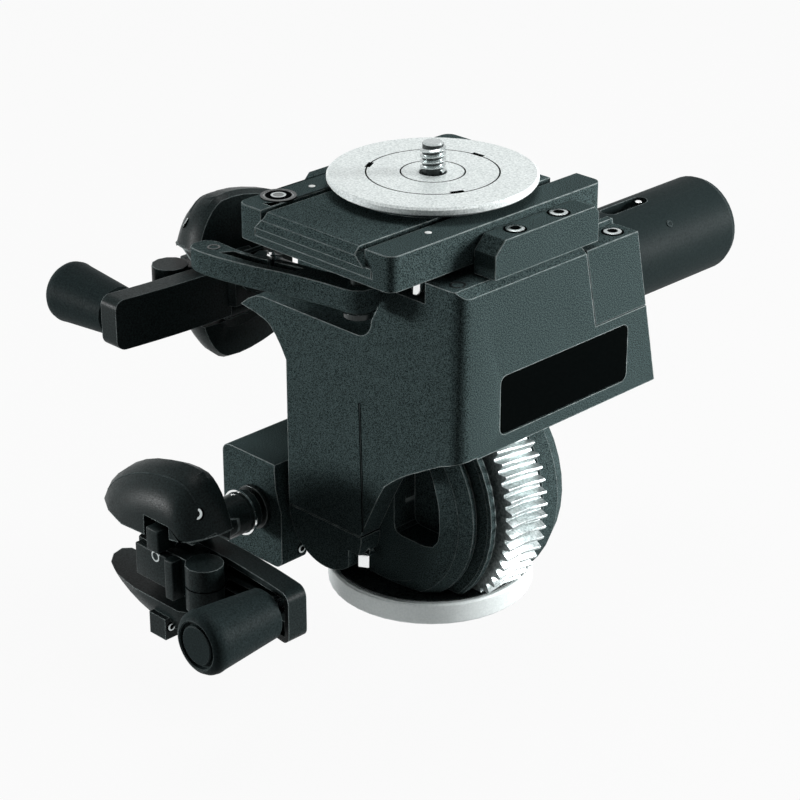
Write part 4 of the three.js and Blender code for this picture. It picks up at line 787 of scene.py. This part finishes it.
def add_disc():
    made_piece(
        "camera_disc_engraved", turned_shape(disc_profile(), DISC_STEPS), UNMOVED, ALUMINIUM, "slider",
        replaced=("camera_disc",),
    )
    # Black rings fill the engraved grooves, as painted shade.
    for index, radius in enumerate(DISC_GROOVES):
        low, high = DISC_HIGH - LINE_DEPTH, DISC_HIGH + LINE_PROUD
        line = ring_shape(radius - LINE_HALF, radius + LINE_HALF, low, high, DISC_STEPS)
        made_piece(f"disc_line_{index + 1}", line, UNMOVED, SHADE_BLACK, "slider")
    # Black boxes stand in for the slots, as painted shade.
    for index, (radius, degrees) in enumerate(DISC_SLOTS):
        across = Matrix.Rotation(math.radians(degrees + 90), 4, "Z")
        outward = Matrix.Rotation(math.radians(degrees), 3, "Z") @ Vector((radius * MM, 0, 0))
        slot = box_shape(
            (-SLOT_LENGTH / 2, -SLOT_WIDTH / 2, DISC_HIGH - SLOT_DEPTH),
            (SLOT_LENGTH / 2, SLOT_WIDTH / 2, DISC_HIGH + SLOT_PROUD), SLOT_ROUND,
        )
        made_piece(
            f"disc_slot_{index + 1}", slot, Matrix.Translation(outward) @ across, SHADE_BLACK, "slider",
        )


def add_camera_screw():
    low, high = SCREW_LOW, SCREW_HIGH
    core_end = high - TIP_LENGTH
    core = turned_shape([
        (0, low), (SCREW_HEAD_RADIUS, low), (SCREW_HEAD_RADIUS, low + SCREW_HEAD_HEIGHT),
        (CORE_RADIUS, low + CORE_START), (CORE_RADIUS, core_end), (0, core_end),
    ])
    made_piece(
        "camera_screw_core", core, UNMOVED, BLACK_STEEL, "camera_screw",
        replaced=("camera_screw",),
    )
    tip = turned_shape([(0, core_end), (THREAD_ROOT, core_end), (TIP_RADIUS, high), (0, high)], SMALL_STEPS)
    made_piece("camera_screw_tip", tip, UNMOVED, STEEL, "camera_screw")
    thread = thread_shape(THREAD_ROOT, SCREW_RADIUS, THREAD_PITCH, THREAD_TURNS)
    thread_start = high - THREAD_END - (THREAD_TURNS + 1) * THREAD_PITCH
    made_piece(
        "camera_screw_thread", thread, Matrix.Translation((0, 0, thread_start * MM)), STEEL, "camera_screw",
    )


# Platform: index dots, level, ledge, screws of the cheeks and the hinge cap

def add_platform_details():
    for index, (x, y) in enumerate(INDEX_DOTS):
        dot = turned_shape(DOT_PROFILE, TINY_STEPS)
        made_piece(
            f"index_dot_{index + 1}", dot, place_at(x, y, PLATFORM_TOP), WHITE_PAINT, "platform",
        )
    for name, inner, outer, high, finish in LEVEL_RINGS:
        ring = ring_shape(inner, outer, -LEVEL_SUNK, high, LEVEL_STEPS)
        made_piece(name, ring, place_at(*LEVEL, PLATFORM_TOP), finish, "platform")
    for name in CHEEK_SCREWS:
        low, high = map(Vector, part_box("cheek_screw_" + name))
        middle = (low + high) / (2 * MM)
        add_socket_screw(
            f"cheek_screw_{name}_new", place_at(middle.x, middle.y, CHEEK_TOP), CHEEK_SCREW_RADIUS, "housing",
            ("cheek_screw_" + name,),
        )
    add_socket_screw("cap_screw", place_at(*CAP_SCREW, CAP_TOP), CHEEK_SCREW_RADIUS, "housing")
    made_piece(
        "housing_pin", turned_shape(HOUSING_PIN_PROFILE, SMALL_STEPS), place_at(*HOUSING_PIN), BLACK_STEEL,
        "housing",
    )
    made_piece(
        "platform_ledge", box_shape(LEDGE_LOW, LEDGE_HIGH), UNMOVED, COAT, "platform",
        softened=LEDGE_ROUND,
    )


# Lever, tube, leg and gear case

def add_lever_details():
    made_piece(
        "lever_catch_pin", turned_shape(CATCH_PIN_PROFILE, TINY_STEPS), place_at(*CATCH_PIN, LEVER_TOP),
        CHROME, "lock_lever",
    )
    made_piece(
        "lever_end_ring", turned_shape(END_RING_PROFILE, SMALL_STEPS), place_at(*END_RING, LEVER_TOP),
        BLACK_STEEL, "lock_lever",
    )


def add_tube_details():
    outward = Vector((math.cos(GUIDE_ANGLE), 0, math.sin(GUIDE_ANGLE)))
    surface = outward * TUBE_RADIUS
    tilt = Matrix.Rotation(math.pi / 2 - GUIDE_ANGLE, 4, "Y")
    # The black groove strip is painted shade, with a narrow strip in the grip plastic's finish beside it.
    for name, low, high, finish in GUIDE_STRIPS:
        strip = box_shape((low, GUIDE_START, -GUIDE_DEPTH), (high, GUIDE_END, GUIDE_PROUD))
        place = place_at(surface.x, GUIDE_Y, TUBE_HEIGHT + surface.z)
        made_piece(name, strip, place @ tilt, finish, "housing")
    made_piece(
        "tube_set_hole", turned_shape(SET_HOLE_PROFILE, TINY_STEPS),
        place_at(surface.x, SET_HOLE_Y, TUBE_HEIGHT + surface.z, outward), GRIP, "housing",
    )


def add_leg_details():
    lean = Matrix.Rotation(CREASE_LEAN, 4, "Y")
    # The black crease strip is painted shade.
    for name, low, high, finish in CREASE_STRIPS:
        strip = box_shape((low, -CREASE_PROUD, 0), (high, CREASE_DEPTH, CREASE_LENGTH))
        made_piece(name, strip, place_at(*CREASE_FOOT) @ lean, finish, "housing")


def add_foot_bolt():
    """The six-sided head under the foot of the leg."""
    head = bmesh.new()
    bmesh.ops.create_cone(
        head, cap_ends=True, segments=6, radius1=FOOT_BOLT_RADIUS, radius2=FOOT_BOLT_RADIUS,
        depth=FOOT_BOLT_HEIGHT,
    )
    made_piece(
        "foot_bolt_head", head, place_at(*FOOT_BOLT), CHROME, "housing",
        softened=FOOT_BOLT_ROUND, replaced=("leg_foot_bolt",),
    )


# The two crank units, each drawn in its own frame: z away from the case, x along the crank, y up

def grip_profile():
    foot = [
        (GRIP_BORE, GRIP_START), (GRIP_WAIST - GRIP_CHAMFER, GRIP_START),
        (GRIP_WAIST, GRIP_START + GRIP_CHAMFER),
    ]
    nose = [(GRIP_RADIUS - inward, GRIP_END - back) for inward, back in GRIP_NOSE]
    cap = [(across, GRIP_END - back) for across, back in GRIP_CAP]
    return foot + nose + cap


def add_wing_seam(prefix, place):
    """The parting line of the upper wing's shell."""
    seam = turned_shape(SEAM_PROFILE, SEAM_STEPS)
    bmesh.ops.scale(seam, verts=seam.verts, vec=(WING_LONG / WING_ROUND, 1, 1))
    bmesh.ops.translate(seam, verts=seam.verts, vec=(WING_SHIFT, 0, 0))
    cut_off(seam, (0, SEAM_LOW, 0), (0, -1, 0))
    cut_off(seam, (SEAM_END, 0, 0), (1, 0, 0))
    for corner in seam.verts:
        corner.co.x = between(WING_SKEW, corner.co.x)
    made_piece(f"{prefix}_wing_seam", seam, place, GRIP, f"{prefix}_upper_wing")


def add_retaining_clip(prefix, place):
    """The open spring ring round the shaft."""
    shape = bmesh.new()
    section = shape.faces.new([shape.verts.new((radius, 0, height)) for radius, height in CLIP_SECTION])
    bmesh.ops.spin(
        shape, geom=[section], cent=(0, 0, 0), axis=(0, 0, 1), angle=CLIP_SWEEP, steps=CLIP_STEPS,
        use_merge=False,
    )
    turn = Matrix.Rotation(CLIP_START, 4, "Z")
    made_piece(f"{prefix}_retaining_clip", shape, place @ turn, CHROME, f"{prefix}_crank")


def add_crank_unit(prefix):
    place = unit_place(prefix)
    crank = f"{prefix}_crank"
    made_piece(
        f"{prefix}_grip_turned", turned_shape(grip_profile(), GRIP_STEPS),
        place @ place_at(GRIP_X, GRIP_Y, 0), GRIP, f"{prefix}_grip",
        replaced=(f"{prefix}_grip",),
    )
    for name, low, high, rounding, replaced in UNIT_BOXES:
        made_piece(
            f"{prefix}_{name}", box_shape(low, high, rounding), place, MOULDED, crank,
            replaced=(f"{prefix}_{replaced}",) if replaced else (),
        )
    made_piece(
        f"{prefix}_hub_hole_rim", turned_shape(HOLE_RIM_PROFILE, TINY_STEPS), place @ place_at(*HOLE_RIM),
        STEEL, crank,
    )
    # A black ring in the barrel's seam, as painted shade.
    made_piece(
        f"{prefix}_barrel_seam", ring_shape(*BARREL_SEAM, SMALL_STEPS),
        place @ place_at(BARREL_X + HUB_SHIFT, 0, BARREL_Z, (0, 1, 0)), SHADE_BLACK, crank,
    )
    for name, point, facing, radius, body in UNIT_SCREWS:
        add_socket_screw(f"{prefix}_{name}", place @ place_at(*point, facing), radius, f"{prefix}_{body}")
    add_wing_seam(prefix, place)
    add_retaining_clip(prefix, place)


REPLACED_BY_NEW = {"camera_disc", "camera_screw", "leg_foot_bolt"}
REPLACED_BY_NEW |= {f"{unit_name}_grip" for unit_name in UNITS}
REPLACED_BY_NEW |= {f"{unit_name}_release_key" for unit_name in UNITS}
REPLACED_BY_NEW |= {"cheek_screw_" + screw_name for screw_name in CHEEK_SCREWS}

for each in frame["nodes"]:
    if each not in REPLACED_BY_NEW:
        finished_copy(each)
add_disc()
add_camera_screw()
add_platform_details()
add_lever_details()
add_tube_details()
add_leg_details()
add_foot_bolt()
add_socket_screw("case_screw", place_at(*CASE_SCREW, (1, 0, 0)), CASE_SCREW_RADIUS, "turntable")
for unit_name in UNITS:
    add_crank_unit(unit_name)


# Stage: camera, floor and lights

def add_camera():
    lens = bpy.data.cameras.new("camera")
    lens.lens = CAMERA_LENS
    lens.sensor_width = CAMERA_SENSOR
    lens.clip_start, lens.clip_end = CAMERA_REACH
    place = new_object("camera", lens)
    place.location = CAMERA_PLACE
    turn, rise = CAMERA_AZIMUTH, CAMERA_HEIGHT_ANGLE
    ahead = Vector((-math.sin(turn) * math.cos(rise), math.cos(turn) * math.cos(rise), -math.sin(rise)))
    place.rotation_euler = ahead.to_track_quat("-Z", "Y").to_euler()
    bpy.context.scene.camera = place


def seen_directly(tree):
    """1 for rays from the camera, from mirror-like surfaces and through glass."""
    path = node(tree, "ShaderNodeLightPath")
    first = node(tree, "ShaderNodeMath", operation="MAXIMUM")
    link(tree, path.outputs["Is Camera Ray"], first.inputs[0])
    link(tree, path.outputs["Is Glossy Ray"], first.inputs[1])
    both = node(tree, "ShaderNodeMath", operation="MAXIMUM")
    link(tree, first.outputs[0], both.inputs[0])
    link(tree, path.outputs["Is Transmission Ray"], both.inputs[1])
    return both.outputs[0]


def add_floor():
    shape = bmesh.new()
    bmesh.ops.create_grid(shape, x_segments=1, y_segments=1, size=FLOOR_SIZE)
    bmesh.ops.translate(shape, verts=shape.verts, vec=(0, 0, FLOOR_HEIGHT))
    floor = new_object("floor", mesh_of("floor", shape))
    material, tree, shader = start_material("pale floor", FLOOR_ROUGHNESS, 0.0)
    shader.inputs["Base Color"].default_value = FLOOR_COLOUR
    white = node(tree, "ShaderNodeEmission", in_Strength=1.0)
    mix = node(tree, "ShaderNodeMixShader")
    link(tree, multiply(tree, seen_directly(tree), FLOOR_WHITE), mix.inputs["Fac"])
    link(tree, shader.outputs[0], mix.inputs[1])
    link(tree, white.outputs[0], mix.inputs[2])
    link(tree, mix.outputs[0], tree.nodes["Material Output"].inputs["Surface"])
    floor.data.materials.append(material)


def add_world():
    world = bpy.data.worlds.new("studio")
    bpy.context.scene.world = world
    world.use_nodes = True
    tree = world.node_tree
    tree.nodes.clear()
    fill = node(tree, "ShaderNodeBackground", in_Color=FILL_COLOUR, in_Strength=FILL_STRENGTH)
    white = node(tree, "ShaderNodeBackground", in_Color=(1, 1, 1, 1), in_Strength=1.0)
    mix = node(tree, "ShaderNodeMixShader")
    link(tree, seen_directly(tree), mix.inputs["Fac"])
    link(tree, fill.outputs[0], mix.inputs[1])
    link(tree, white.outputs[0], mix.inputs[2])
    link(tree, mix.outputs[0], node(tree, "ShaderNodeOutputWorld").inputs["Surface"])


def add_light(name, place, aim, width, height, power):
    light = bpy.data.lights.new(name, "AREA")
    light.shape = "RECTANGLE"
    light.size = width
    light.size_y = height
    light.energy = power
    lamp = new_object(name, light)
    lamp.location = place
    lamp.rotation_euler = (Vector(aim) - Vector(place)).to_track_quat("-Z", "Y").to_euler()


add_camera()
add_floor()
add_world()
for lamp_settings in LAMPS:
    add_light(*lamp_settings)

bpy.context.scene.view_settings.view_transform = "Standard"
